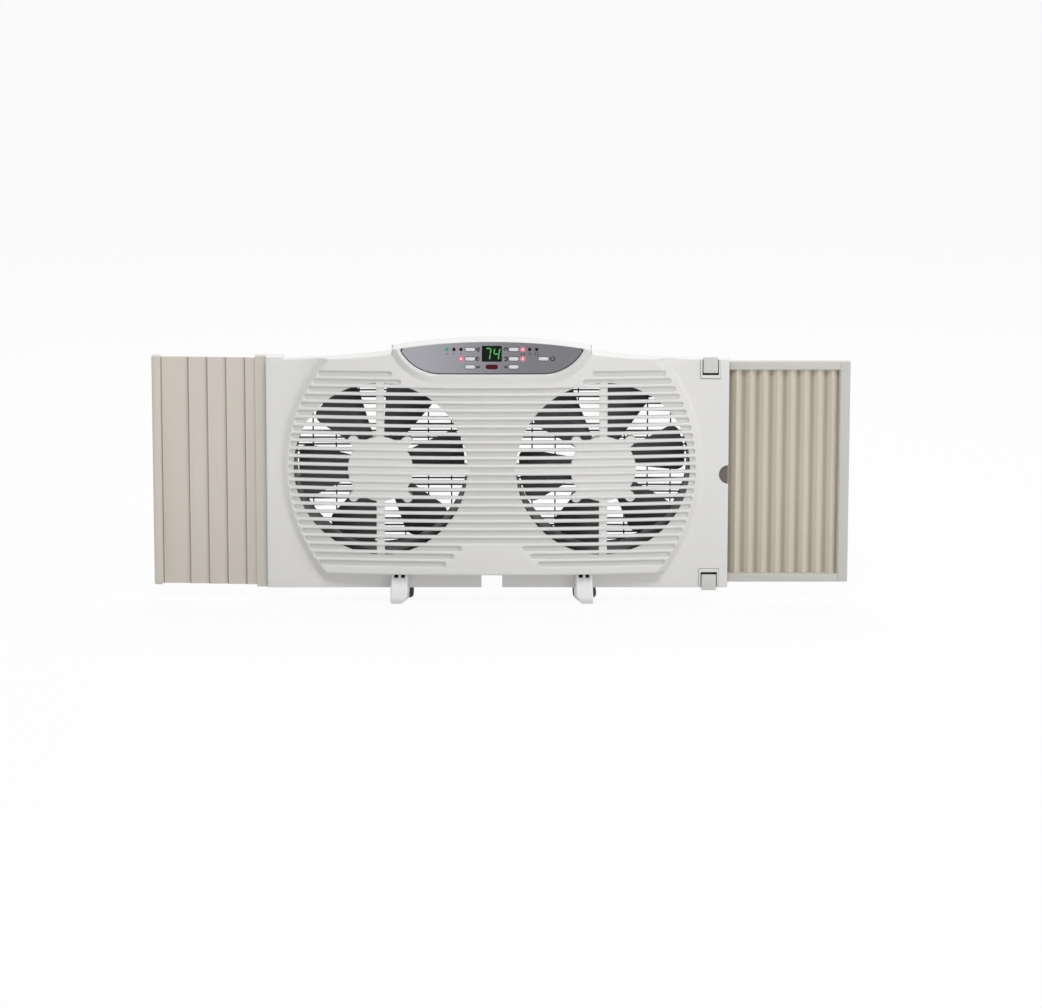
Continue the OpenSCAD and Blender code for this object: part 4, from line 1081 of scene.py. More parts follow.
for side, label in SIDES:
    x, half_row = side * FAN_X, BAR_PITCH - SLOT_H / 2
    plate = slab_points(hub_outline() + [x, FAN_Z], GROOVE, GROOVE + HUB_PLATE_T, 0.5)
    reach = APERTURE_R + STRUT_INTO
    strut = rounded_box(x - STRUT_W / 2, x + STRUT_W / 2, FAN_Z - reach, FAN_Z + reach, 1.0)
    near, far = sorted((side * (FAN_X - HUB_PLATE_R + 6), side * (FAN_X - reach)))
    arm = rounded_box(near, far, FAN_Z - half_row, FAN_Z + half_row, 1.0)
    slabs = [dished(plate, (x, FAN_Z)), slab_points(strut, GROOVE + 0.1, GROOVE + 4.5, 0.8),
             slab_points(arm, GROOVE - 0.1, GROOVE + 4.0, 0.5)]
    put_slabs(label + "_hub_plate", slabs, "housing", "bezel_white", bezel_plastic, bend=on_dome)
print("hub plate ears at", EAR_X, EAR_Z)

# %% [markdown]
# ## The control panel
#
# The grey lens lies in the collar and follows the dome. Seven oval buttons,
# nine lamps, a black window with two digits and a dark red receiver window
# show through it. The symbols are plain generic strokes. Each button is a
# piece of its own, because it moves.

# %% Lens
LENS_GAP = 0.5
LENS_BACK = 0.25
LENS_ROUND = 0.7
LENS_CORNER = 6.5
LENS_WALL = 1.5


def lens_outline(grow, top_gap):
    """Columns of the lens and its lower and upper outline; the upper one rounds down at both ends by a quarter
    of an ellipse."""
    r = PANEL_CORNER_R - LENS_GAP + grow
    tip_z = float(hump_edge(120.0)) - top_gap - 0.55 * LENS_CORNER
    half = PANEL_FLAT + math.sqrt(r**2 - (PANEL_CORNER_Z - tip_z) ** 2)
    x = half * np.sin(np.linspace(-1, 1, 141) * math.pi / 2)
    past = np.maximum(np.abs(x) - (half - LENS_CORNER), 0)
    high = hump_edge(x) - top_gap - (LENS_CORNER - np.sqrt(np.maximum(LENS_CORNER**2 - past**2, 0))) * 0.8
    low = collar_line(x, grow - LENS_GAP)
    return x, low, np.maximum(high, low + 0.01), half


def lens_depth(x):
    """The lens follows the dome and stands out a little more towards its ends."""
    return dome_y(x) - ends_lift(x)


def lens_grid():
    """Columns across, lines from the lower to the upper outline; the depth is the dome's plus the rounding of
    the edge."""
    x, low, high, half = lens_outline(0.0, 0.7)
    f = np.array([0, 0.004, 0.012, 0.03, 0.08, 0.2, 0.4, 0.6, 0.8, 0.92, 0.97, 0.988, 0.996, 1])[:, None]
    z = low + (high - low) * f
    edge = np.minimum(np.minimum(z - low, high - z), (half - np.abs(x)) * 0.8)
    y = lens_depth(x) + LENS_BACK + rolled(edge, LENS_ROUND)
    front = np.stack(np.broadcast_arrays(x, y, z), -1)
    return np.concatenate([front[:1] + [0, LENS_WALL, 0], front, front[-1:] + [0, LENS_WALL, 0]])


def seat_grid(grow, top_gap, depth):
    """A thin sheet behind the lens, a little wider than it."""
    x, low, high, half = lens_outline(grow, top_gap)
    z = low + (high - low) * np.array([0, 1.0])[:, None]
    front = np.stack(np.broadcast_arrays(x, lens_depth(x) + depth, z), -1)
    loop = np.concatenate([front, front[::-1] + [0, 0.3, 0]])
    return loop, grid_faces(*loop.shape[:2], close_rows=True)


lens = lens_grid()
put("control_lens", lens, grid_faces(*lens.shape[:2]), "housing", "panel_grey", panel_plastic,
    nodes=["control_panel"], outward=False)
# A dark grey sheet just behind the lens's edge is painted shade in the gap round it.
put("lens_gap", *seat_grid(1.35, 0.1, 0.7), "housing", "panel_grey", gap_shade_plastic)
put("lens_seat", *seat_grid(3.4, -0.2, 1.1), "housing", "bezel_white", bezel_plastic)
print("lens half width", round(lens[..., 0].max(), 1))

# %% Buttons
BUTTON_W, BUTTON_H = 13.4, 4.7
CAP_T, CAP_ROUND = 4.0, 0.9
BUTTON_GAP = 1.3
BUTTONS = ("left_top", "left_middle", "left_bottom", "right_top", "right_middle", "right_bottom", "power")


def pill(cx, cz, w, h, steps=10):
    """Outline of a bar with round ends."""
    return rounded_box(cx - w / 2, cx + w / 2, cz - h / 2, cz + h / 2, h / 2 - 1e-3, steps)


def node_middle(low, high):
    """The middle of a node's front, in X and Z."""
    return (low[0] + high[0]) / 2, (low[2] + high[2]) / 2


button_at = {}
for name in BUTTONS:
    low, high = node_box(name + "_button")
    cx, cz = button_at[name] = node_middle(low, high)
    cap = slab_points(pill(cx, cz, BUTTON_W, BUTTON_H), low[1] + 0.05, low[1] + CAP_T, CAP_ROUND, steps=5)
    stem = slab_points(pill(cx, cz, high[0] - low[0], high[2] - low[2]), low[1] + CAP_T, high[1], 0.1, steps=1)
    put_slabs(name + "_button_cap", [cap, stem], name + "_button_body", "button_white", button_plastic,
              nodes=[name + "_button"])
    # A dark grey ring round each button is painted shade in its gap.
    gap = pill(cx, cz, BUTTON_W + BUTTON_GAP, BUTTON_H + BUTTON_GAP)
    put_slabs(name + "_button_gap", [slab_points(gap, LENS_BACK - 0.08, LENS_BACK + 0.6, 0.05, steps=1)],
              "housing", "panel_grey", gap_shade_plastic, bend=on_dome)
print("buttons at", {k: (round(float(x), 1), round(float(z), 1)) for k, (x, z) in button_at.items()})

# %% Display and receiver window
low, high = node_box("display_window")
DISPLAY_X, DISPLAY_Z = node_middle(low, high)
display_front = low[1]
outline = rounded_box(low[0], high[0], low[2], high[2], 0.8, 3)
put_slabs("display_glass", [slab_points(outline, low[1], high[1], 0.25, steps=2)], "housing", "display_black",
          display_glass, nodes=["display_window"])
low, high = node_box("infrared_window")
outline = pill(*node_middle(low, high), high[0] - low[0], high[2] - low[2])
put_slabs("receiver_window", [slab_points(outline, low[1], high[1], 0.6)], "housing", "infrared_red",
          infrared_lens, nodes=["infrared_window"])
print("display at", round(float(DISPLAY_X), 2), round(float(DISPLAY_Z), 2))

# %% Digits
SEGMENTS = {7: "abc", 4: "fgbc"}
SEGMENT_LINES = {"a": (0, 2, 1, 2), "b": (1, 2, 1, 1), "c": (1, 1, 1, 0), "f": (0, 2, 0, 1), "g": (0, 1, 1, 1)}
DIGIT_W, DIGIT_H, DIGIT_STROKE, DIGIT_LEAN = 6.9, 15.2, 1.6, 0.14
DIGITS = ((7, -5.6), (4, 6.2))
DIGIT_DROP = 0.4


def stroke(a, b, width):
    """Outline of one display segment: a bar from a to b with pointed ends."""
    a, b = np.asarray(a, float), np.asarray(b, float)
    along = (b - a) / np.linalg.norm(b - a)
    side = np.array([along[1], -along[0]]) * width / 2
    a, b = a + along * width * 0.15, b - along * width * 0.15
    tip = along * width / 2
    return np.array([a, a + tip + side, b - tip + side, b, b - tip - side, a + tip - side])


def digit(value, cx, cz):
    """Slabs of the lit segments of one digit, leaning to the right with height."""
    slabs = []
    for key in SEGMENTS[value]:
        x0, z0, x1, z1 = SEGMENT_LINES[key]
        ends = [(x * DIGIT_W - DIGIT_W / 2, z * DIGIT_H / 2 - DIGIT_H / 2) for x, z in ((x0, z0), (x1, z1))]
        outline = stroke(*ends, DIGIT_STROKE)
        outline[:, 0] += DIGIT_LEAN * outline[:, 1]
        slabs.append(slab_points(outline + [cx, cz], display_front - 0.04, display_front + 0.2, 0.01, steps=1))
    return slabs


lit_slabs = [s for value, x in DIGITS for s in digit(value, DISPLAY_X + x, DISPLAY_Z - DIGIT_DROP)]
put_slabs("display_digits", lit_slabs, "housing", "display_black", digit_light)
print("lit segments:", len(lit_slabs))

# %% Lamps
LAMP_R = 2.3
LAMP_NEAR, LAMP_MIDDLE, LAMP_FAR = 41.3, 50.6, 59.9
LAMP_TOP, LAMP_LOW = button_at["left_top"][1], button_at["left_middle"][1]


def lamp_caps(places, r=LAMP_R, front=-0.45):
    """One low dome per lamp: a slab whose edge is rounded almost to its middle."""
    return [slab_points(arc(x, z, r, 0, 360, 24)[:-1], front, 1.2, 0.9, steps=5) for x, z in places]


def glow_discs(places, r, front):
    """A thin disc round each lit lamp, where its light spreads in the lens."""
    return [slab_points(arc(x, z, r, 0, 360, 28)[:-1], front, front + 0.15, 0.02, steps=1) for x, z in places]


green_at = [(-LAMP_FAR, LAMP_TOP)]
red_at = [(-LAMP_NEAR, LAMP_LOW), (LAMP_NEAR, LAMP_TOP), (LAMP_NEAR, LAMP_LOW)]
dark_at = [(x, LAMP_TOP) for x in (-LAMP_MIDDLE, -LAMP_NEAR, LAMP_MIDDLE, LAMP_FAR)]
for name, slabs, slot, material in (
        ("green_lamp", lamp_caps(green_at), "lamp_green", green_lens),
        ("red_lamps", lamp_caps(red_at, 1.05, -0.9), "lamp_red", red_lens),
        ("red_near_glow", glow_discs(red_at, 2.1, LENS_BACK - 0.1), "lamp_red", near_glow),
        ("red_far_glow", glow_discs(red_at, 3.9, LENS_BACK - 0.04), "panel_grey", far_glow),
        ("dark_lamps", lamp_caps(dark_at), "lamp_dark", dark_lens)):
    put_slabs(name, slabs, "housing", slot, material, bend=on_dome)
print("lamps:", len(green_at + red_at + dark_at))

# %% [markdown]
# ### Printed symbols
#
# Small generic marks are printed beside the buttons and under the lamps. A
# curved mark is a short band: an outer arc, then the inner arc back again. All
# of them form one thin sheet that lies a hair in front of the lens.

# %% Strokes of the symbols
PRINT_FRONT, PRINT_BACK = LENS_BACK - 0.06, LENS_BACK + 0.1
MARK_SCALE = 1.25
MARK_X, POWER_MARK_X, UNDER_LAMPS = 18.6, 12.4, 6.1


def band(r, start, end, width):
    """Outline of a curved stroke round the origin, from one angle to another in degrees."""
    steps = max(int(abs(end - start) / 12), 3)
    outer = arc(0, 0, r + width * 0.7, start, end, steps)
    inner = arc(0, 0, r - width * 0.7, end, start, steps)
    return np.concatenate([outer, inner])


def line_mark(x0, z0, x1, z1, width):
    """Outline of a straight stroke with pointed ends."""
    return stroke((x0, z0), (x1, z1), width * 1.4)


def placed(x, z, *outlines):
    """Outlines drawn round the origin, made a little larger and moved to their place."""
    return [outline * MARK_SCALE + [x, z] for outline in outlines]


def on_lens(points):
    """The same bend as on_dome, with the lens's own stand-out at its ends."""
    out = on_dome(points)
    out[:, 1] -= ends_lift(points[:, 0])
    return out


print("symbols are drawn", MARK_SCALE, "times as large as their numbers")


# %% Symbols
def button_marks():
    """Outlines of the marks in one column on each side of the display, and of the one beside the power button."""
    top, middle, bottom = [button_at[name][1] for name in ("left_top", "left_middle", "left_bottom")]
    power_x, power_z = button_at["power"]
    fan = [band(1.8, a, a + 85, 0.9) for a in (10, 130, 250)] + [arc(0, 0, 0.9, 0, 360, 12)[:-1]]
    return (placed(-MARK_X, top, *fan)
            + placed(-MARK_X, middle, band(1.7, 70, 290, 0.9), line_mark(0, 0, 2.2, 0, 0.9))
            + placed(-MARK_X, bottom, line_mark(-1.8, 1.3, 0, -1.8, 1.0), line_mark(0, -1.8, 1.8, 1.3, 1.0),
                     line_mark(1.9, 1.2, 3.2, 1.2, 0.9))
            + placed(MARK_X, top, band(1.8, -50, 230, 0.8))
            + placed(MARK_X, middle, band(1.8, -130, 150, 0.9), line_mark(-0.2, 0, 1.6, 0, 0.9))
            + placed(MARK_X, bottom, line_mark(-1.6, 1.5, 0, -1.7, 0.8), line_mark(0, -1.7, 1.6, 1.5, 0.8))
            + placed(power_x + POWER_MARK_X, power_z, band(2.2, 125, 415, 0.8), line_mark(0, 0.8, 0, 3.1, 0.8)))


def lamp_marks():
    """Outlines of the marks under the lamps: open rings and a double bar on the right, short strokes on the left."""
    z = LAMP_TOP - UNDER_LAMPS
    out = []
    for x in (LAMP_NEAR, LAMP_FAR):
        out += placed(x, z, band(1.7, 115, 245, 0.5), band(1.7, -65, 65, 0.5))
    out += placed(LAMP_MIDDLE, z, line_mark(-1.3, 0.8, 1.3, 0.8, 0.5), line_mark(-1.3, -0.8, 1.3, -0.8, 0.5))
    for x in (-LAMP_FAR, -LAMP_MIDDLE, -LAMP_NEAR):
        out += placed(x, z, line_mark(0, 1.0, 0, -1.0, 0.7))
    return out


marks = button_marks() + lamp_marks()
sheets = [slab_points(in_order(mark), PRINT_FRONT, PRINT_BACK, 0.01, steps=1) for mark in marks]
put_slabs("printed_symbols", sheets, "housing", "panel_grey", ink, bend=on_lens)
print("printed marks:", len(marks))

# %% [markdown]
# ## Impellers
#
# A blade is a curved sheet that is tilted about the line through its middle
# and sweeps round the hub. A twisted plane with a solidify modifier comes
# near, but not to the thin edges of a moulding. So two parameters describe the
# blade, the radius and the share of the way from one edge to the other, and
# its thickness is a function of both. The corners at the tip are drawn in. The
# hub is a profile turned about the axis.

# %% Blade
BLADES = 6
BLADE_ANGLE = math.radians(38)
BLADE_TILT = math.radians(24)
BLADE_T = 2.0
CAMBER_R = 150.0
TIP_CORNER = 14.0
HUB_R = 33.0
Y_HUB, HUB_LEN, Y_FAN = -11.0, 24.0, 1.0
fan_low, fan_high = node_box("left_impeller")
FAN_R = (fan_high[0] - fan_low[0]) / 2
FIRST_BLADE = {"left": -12, "right": -8}


def blade_grid():
    """Blade at angle 0 over radius and sweep v from -1 to 1: its angle, radius, depth and half thickness. With u
    the way along the arc, the depth is u times the tilt's tangent, plus u squared over twice the camber's radius.
    The half thickness falls off with the sixth power of v."""
    root = HUB_R - 1.5
    r = (root + (FAN_R - root) * ease(np.linspace(0, 1, 22) ** 0.85) * 0.999)[:, None]
    near_tip = np.clip((r - (FAN_R - TIP_CORNER)) / TIP_CORNER, 0, 1)
    drawn = TIP_CORNER * (1 - np.sqrt(np.maximum(1 - near_tip**2, 0))) * 0.8
    v = np.linspace(-1, 1, 23)[None]
    angle = (BLADE_ANGLE / 2 - np.minimum(drawn / r, BLADE_ANGLE / 2 - 0.05)) * v
    u = r * angle
    depth = Y_FAN - u * math.tan(BLADE_TILT) + u**2 / (2 * CAMBER_R)
    thin = BLADE_T / 2 * (1 - np.abs(v) ** 6) ** 0.5 * (1 - 0.35 * (r - HUB_R) / FAN_R)
    return angle, np.broadcast_to(r, angle.shape), depth, np.broadcast_to(thin, angle.shape)


def blade(side, turn):
    """One closed blade, turned about its fan's axis."""
    angle, r, depth, thin = blade_grid()
    a = angle + BLADE_ANGLE / 2 + math.radians(turn)
    x, z = side * FAN_X + r * np.cos(a), FAN_Z + r * np.sin(a)
    front, back = [np.stack([x, depth + s * thin, z], -1) for s in (-1, 1)]
    loop = np.concatenate([front, back[:, ::-1]], 1)
    return loop, grid_faces(*loop.shape[:2], close_columns=True)


print("fan radius", round(float(FAN_R), 1))


# %% Hubs and whole fans
def turned(profile, cx, steps=64):
    """A closed profile of (radius, depth) points turned about a fan's axis."""
    a = np.linspace(0, 2 * math.pi, steps + 1)[:-1]
    r, y = np.asarray(profile, float).T
    x, z = cx + r[:, None] * np.cos(a), FAN_Z + r[:, None] * np.sin(a)
    grid = np.stack([x, np.repeat(y[:, None], steps, 1), z], -1)
    return grid, grid_faces(*grid.shape[:2], close_rows=True, close_columns=True)


def hub_profile():
    """The hub is a cup that opens towards the motor, with a round rear rim and a boss on the shaft."""
    back = Y_HUB + HUB_LEN
    rim = [(HUB_R - 4 * (1 - math.cos(t)), back - 4 * (1 - math.sin(t))) for t in ROLL]
    boss = [(7, back - 1), (6, back), (3.2, back), (3.2, Y_HUB), (6, Y_HUB), (6, back - 4)]
    return [(HUB_R - 3, Y_HUB), (HUB_R, Y_HUB)] + rim + boss + [(HUB_R - 6, back - 4), (HUB_R - 3, back - 7)]


for side, label in SIDES:
    parts = [blade(side, FIRST_BLADE[label] + i * 360 / BLADES) for i in range(BLADES)]
    parts.append(turned(hub_profile(), side * FAN_X))
    put(label + "_fan", *joined(parts), label + "_fan", "blade_grey", blade_plastic, nodes=[label + "_impeller"])
print("blades on each fan:", BLADES)

# %% [markdown]
# ## The left panel
#
# Five slats slide behind each other, each with a small raised bead along its
# outer edge, and an end bar closes them. They could be one sheet with a
# pattern of lines, but they slide apart, so each is a slab that rides on its
# own body. A thin dark line at each joint is painted shadow, where the real
# slats throw a narrow shadow. The channel they run in keeps its CAD shape, with
# a painted shadow line beside it at the cover's edge and the cover's edge
# turned back over its top.


# %% Slats
def painted_shadow_line(name, x0, x1, z0, z1, front, back, body, slot, material, r=0.2, steps=1):
    """A thin dark upright strip: painted shadow where two mouldings meet."""
    strip = slab_points(rounded_box(x0, x1, z0, z1, r, steps), front, back, 0.02, steps=1)
    put_slabs(name, [strip], body, slot, material)


SLATS = 5
for i in range(1, SLATS + 1):
    name, last = "left_slat_%d" % i, i == SLATS
    body = "left_end" if last else "slat_%d" % i
    low, high = node_box(name)
    sheet = slab_points(rounded_box(low[0], high[0], low[2], high[2], 0.6, 2), low[1], high[1], 0.45, steps=3)
    bead = rounded_box(low[0] + 0.9, low[0] + 2.6, low[2], high[2], 0.5, 2)
    put_slabs(name + "_strip", [sheet, slab_points(bead, low[1] - 0.3, high[1] - 0.4, 0.5, steps=3)], body,
              "slat_beige", slat_plastic, nodes=[name])
    # Each slat gets a dark strip at its joint as painted shadow; the last one lies beside the end bar.
    at, reach, proud = (node_box("left_end_bar")[1][0] - 0.3, 2.3, 0.1) if last else (low[0] - 0.1, 1.1, 0.08)
    painted_shadow_line("left_end_painted_shadow_line" if last else name + "_painted_shadow_line", at, at + reach, low[2] + 0.2, high[2] - 0.2,
               low[1] - proud, low[1] + 0.6, body, "slat_beige", line_plastic)
print("slats:", SLATS, "each", round(float(high[0] - low[0]), 1), "wide")

# %% End bar, channel shadow line and the cover's top return
low, high = node_box("left_end_bar")
bar = slab_points(rounded_box(low[0], high[0], low[2], high[2], 1.5, 4), low[1], high[1], 1.4)
rib = rounded_box(low[0] + 2.2, high[0] - 1.8, low[2] + 3, high[2] - 3, 1.0, 3)
put_slabs("left_end_moulding", [bar, slab_points(rib, low[1] - 0.4, low[1] + 2, 0.5)], "left_end", "end_bar_beige",
          end_plastic, nodes=["left_end_bar"])
print("end bar width", round(float(high[0] - low[0]), 1))
low, high = node_box("left_channel")
# A mid grey strip at the cover's left edge is painted shadow, where the cover's edge shades the channel.
painted_shadow_line("left_channel_shadow_line", EDGE_LEFT - 1.3, EDGE_LEFT + 0.5, LIP_BOTTOM + 0.5, FLANGE_TOP - 0.2,
           low[1] - 0.12, low[1] + 0.5, "housing", "channel_beige", shadow_line_plastic, r=0.3, steps=2)
top = rounded_box(EDGE_LEFT + 0.4, high[0] + 0.6, Y_FACE + 1.6, high[1], 0.6, 2)
put_slabs("cover_top_return", [slab_points(top, high[2] - 1.9, high[2] + 0.3, 0.5, axis=2, steps=1)], "housing",
          "bezel_white", bezel_plastic, sharp=math.radians(10))

# %% [markdown]
# ## The right panel
#
# A frame of two rails and a stile carries a pleated sheet. Cloth simulation
# would fold it, but vinyl pleats are pressed and keep their shape. So the
# sheet is one wave seen from above, carried up the height: its folds are sharp
# in front and behind.

# %% Rails and stile
for name in ("right_upper_rail", "right_lower_rail"):
    low, high = node_box(name)
    rail = rounded_box(low[0], high[0] + 0.5, low[2], high[2], 0.8, 3)
    put_slabs(name + "_moulding", [slab_points(rail, low[1], high[1], 0.8)], "right_frame", "frame_grey",
              frame_plastic, nodes=[name])
low, high = node_box("right_end_stile")
post = slab_points(rounded_box(low[0], high[0], low[2], high[2], 1.5, 4), low[1] - 0.2, high[1], 1.2)
rib = rounded_box(low[0] + 1.2, low[0] + 3.4, low[2] + 3, high[2] - 3, 0.5, 2)
put_slabs("right_end_moulding", [post, slab_points(rib, low[1] - 0.9, low[1] + 2, 0.5)], "right_frame",
          "frame_grey", frame_plastic, nodes=["right_end_stile"])
print("stile width", round(float(high[0] - low[0]), 1))

# %% Pleats
PLEATS = 10
SHEET_T, SAG = 0.6, 0.12
low, high = node_box("pleated_curtain")
# The pleats are painted darker towards their rear folds: painted shade deep in the creases.
curtain_plastic = plastic("Pleated vinyl, painted shade in folds", (207, 200, 185), roughness=0.55, grain=500.0, depth=0.4, shade=PAINTED_SHADE_Y,
                          Start=float(high[1] - 4.5) * MM, End=float(high[1] - 0.6) * MM, At_start=1.0, At_end=0.66)


def pleat_wave(t):
    """A triangle wave softened at its folds: the arc sine of a slightly damped cosine."""
    return np.arcsin(0.97 * np.cos(2 * math.pi * t)) / math.asin(0.97)


def curtain_grid():
    """Columns along the wave, rows up the height; the sheet hangs a little slack between the rails, by a sine
    squared over the height."""
    t = np.linspace(0, 1, PLEATS * 16 + 1)[None]
    v = np.linspace(0, 1, 15)[:, None]
    middle, amp = (low[1] + high[1]) / 2, (high[1] - low[1]) / 2 - 0.4
    slack = 1 - SAG * np.sin(math.pi * v) ** 2
    x = low[0] + (high[0] - low[0]) * t
    y = middle + amp * slack * pleat_wave(PLEATS * t)
    z = low[2] + (high[2] - low[2]) * v
    return np.stack(np.broadcast_arrays(x, y, z), -1)


sheet = curtain_grid()
loop = np.concatenate([sheet, sheet[::-1] + [0, SHEET_T, 0]])
curtain = put("pleated_sheet", loop, grid_faces(*loop.shape[:2], close_rows=True), "housing", "curtain_beige",
              curtain_plastic, nodes=["pleated_curtain"])
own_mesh(curtain)

# %% [markdown]
# ## Locks and the finger notch
#
# Two tabs clamp the right frame. A low rim frames each of them on three sides,
# a near black sheet round the tab is painted shade in its well, and a fine mid
# grey line along the rim's foot is painted shadow. The right edge of the cover
# has a half-round notch for a finger, with a rounded rim of its own and a brown
# grey sheet behind it as painted shade in its depth. A boolean cut would leave
# knife edges here as well, so each is an outline with its own rounded edge.

# %% Lock tabs
LOCKS = (("upper", 1, FLANGE_TOP - 0.3), ("lower", -1, LIP_BOTTOM + 0.3))
TAB_FACE_T = 3.0
for far, up, near in LOCKS:
    low, high = node_box(far + "_lock_tab")
    face = rounded_box(low[0], high[0], low[2], high[2], 1.2, 3)
    put_slabs(far + "_lock_tab_moulding", [slab_points(face, low[1], low[1] + TAB_FACE_T, 0.8)], far + "_lock",
              "tab_grey", tab_plastic, nodes=[far + "_lock_tab"])
print("lock tabs", round(float(high[0] - low[0]), 1), "wide")

# %% Lock rims
RIM_H, RIM_WALL, RIM_SILL = 2.0, 2.3, 4.4
RIM_BESIDE, RIM_PAST = 3.4, 7.4
LINE_BESIDE, LINE_PAST = 4.0, {"upper": 1.2, "lower": 0.8}
WELL_BESIDE, WELL_IN = 1.6, 1.5


def rim_outline(x0, x1, z0, z1):
    """A square C in X and Z that is open at its z1 end; z1 may lie below z0."""
    sill = z0 + math.copysign(RIM_SILL, z1 - z0)
    a, b = x0 + RIM_WALL, x1 - RIM_WALL
    return in_order(np.array([(x0, z0), (x1, z0), (x1, z1), (b, z1), (b, sill), (a, sill), (a, z1), (x0, z1)]))


for far, up, near in LOCKS:
    low, high = node_box(far + "_lock_tab")
    edge = low[2] - RIM_PAST if up > 0 else high[2] + RIM_PAST
    rim = rim_outline(low[0] - RIM_BESIDE, high[0] + RIM_BESIDE, edge, near)
    put_slabs(far + "_lock_rim", [slab_points(rim, Y_FACE - RIM_H, Y_FACE + 0.5, 0.6, r_back=0.05)], "housing",
              "bezel_white", bezel_plastic)
    # A fine mid grey line along the rim's foot is painted shadow.
    z0, z1 = sorted((edge - up * LINE_PAST[far], near - up * 0.5))
    line = rounded_box(low[0] - LINE_BESIDE, high[0] + LINE_BESIDE, z0, z1, 0.5, 2)
    put_slabs(far + "_lock_rim_shadow_line", [slab_points(line, Y_FACE - 0.08, Y_FACE + 0.5, 0.03, steps=1)], "housing",
              "bezel_white", shadow_line_plastic)
    # A near black sheet round each tab is painted shade in its well.
    z0, z1 = sorted((edge + up * WELL_IN, near - up * 0.5))
    well = rounded_box(low[0] - WELL_BESIDE, high[0] + WELL_BESIDE, z0, z1, 0.4, 2)
    put_slabs(far + "_lock_well", [slab_points(well, Y_FACE - 0.15, Y_FACE + 0.5, 0.05, steps=1)], "housing",
              "bezel_white", hole_shade_plastic)
print("lock rims", RIM_H, "high")

# %% Finger notch
NOTCH_RIM_OUT, NOTCH_RIM_IN = 2.2, 1.1
# A brown grey sheet behind the notch is painted shade in its depth.
depth = rounded_box(EDGE_RIGHT - FINGER_R - 3, EDGE_RIGHT - 1.2, FINGER_Z - FINGER_R - 2, FINGER_Z + FINGER_R + 2,
                    1.0, 2)
put_slabs("finger_notch_shade", [slab_points(depth, Y_SEAT + 0.4, Y_SEAT + 0.8, 0.05, steps=1)], "housing",
          "bezel_white", notch_shade_plastic)
ring = np.concatenate([arc(EDGE_RIGHT, FINGER_Z, FINGER_R + NOTCH_RIM_OUT, 92, 268, 28),
                       arc(EDGE_RIGHT, FINGER_Z, FINGER_R - NOTCH_RIM_IN, 268, 92, 28)])
put_slabs("finger_notch_rim", [slab_points(in_order(ring), Y_FACE - 0.12, Y_SEAT - 0.05, 0.45, steps=3)], "housing",
          "bezel_white", bezel_plastic)
print("finger notch radius", FINGER_R)

# %% [markdown]
# ## Feet
#
# A foot is one side outline carried along X. Where its two grip slots lie, the
# same outline is used with a bite out of its upper corner, so the walls of the
# slots come for free. Towards the toe the foot grows narrower, and a rounded
# rubber pad lies under its rear end.

# %% Side outline of a foot
FOOT_ROUND = 2.2
GRIP_X, GRIP_HALF = 5.0, 3.1
TOE_NARROW, TOP_NARROW = 0.36, 0.12


def foot_outlines(low, high):
    """Side outline in Y and Z, plain and with the grip's bite; both have the same number of points."""
    top, sole = high[2], low[2]
    front = Y_FACE - 0.4
    nose = arc(front - 7.4, top - 5.2, 3.4, 80, 175, 6)
    toe = arc(front - 5.5, sole + 11.0, 11.0, 175, 265, 12)
    rest = np.array([(-6.0, sole), (-6.0, sole + 3), (high[1] - 4, sole + 3), (high[1], sole + 7), (high[1], 0.9),
                     (Y_SEAT + 0.5, 0.9), (Y_SEAT + 0.5, LIP_BOTTOM - 0.5), (front, LIP_BOTTOM - 0.5)])
    plain = np.concatenate([[(front, top), (front - 3.5, top)], nose, toe, rest])
    deep, floor = front - 3.5, top - 6.6
    share = np.linspace(0, 1, len(nose))[:, None]
    down = np.concatenate([np.full_like(share, deep), top + (floor - top) * share * 2], 1)
    along = np.concatenate([deep + (nose[-1, 0] - deep) * (share * 2 - 1), np.full_like(share, floor)], 1)
    cut = plain.copy()
    cut[2:2 + len(nose)] = np.where(share < 0.5, down, along)
    cut[2 + len(nose), 1] = min(cut[2 + len(nose), 1], floor - 0.5)
    return plain, cut


def narrowed(points, outer, middle, low):
    """Draws the toe in towards the foot's outer side and the top towards its middle, both by soft steps."""
    x, y, z = points.T
    toe = ease((low[2] + 17 - z) / 17) * ease((-14 - y) / 10)
    x = outer + (x - outer) * (1 - TOE_NARROW * toe)
    top = ease((z + 14) / 14) * (y < Y_FACE)
    return np.stack([middle + (x - middle) * (1 - TOP_NARROW * top), y, z], -1)


print("the sole lies at", round(float(node_box("left_foot")[0][2]), 1))

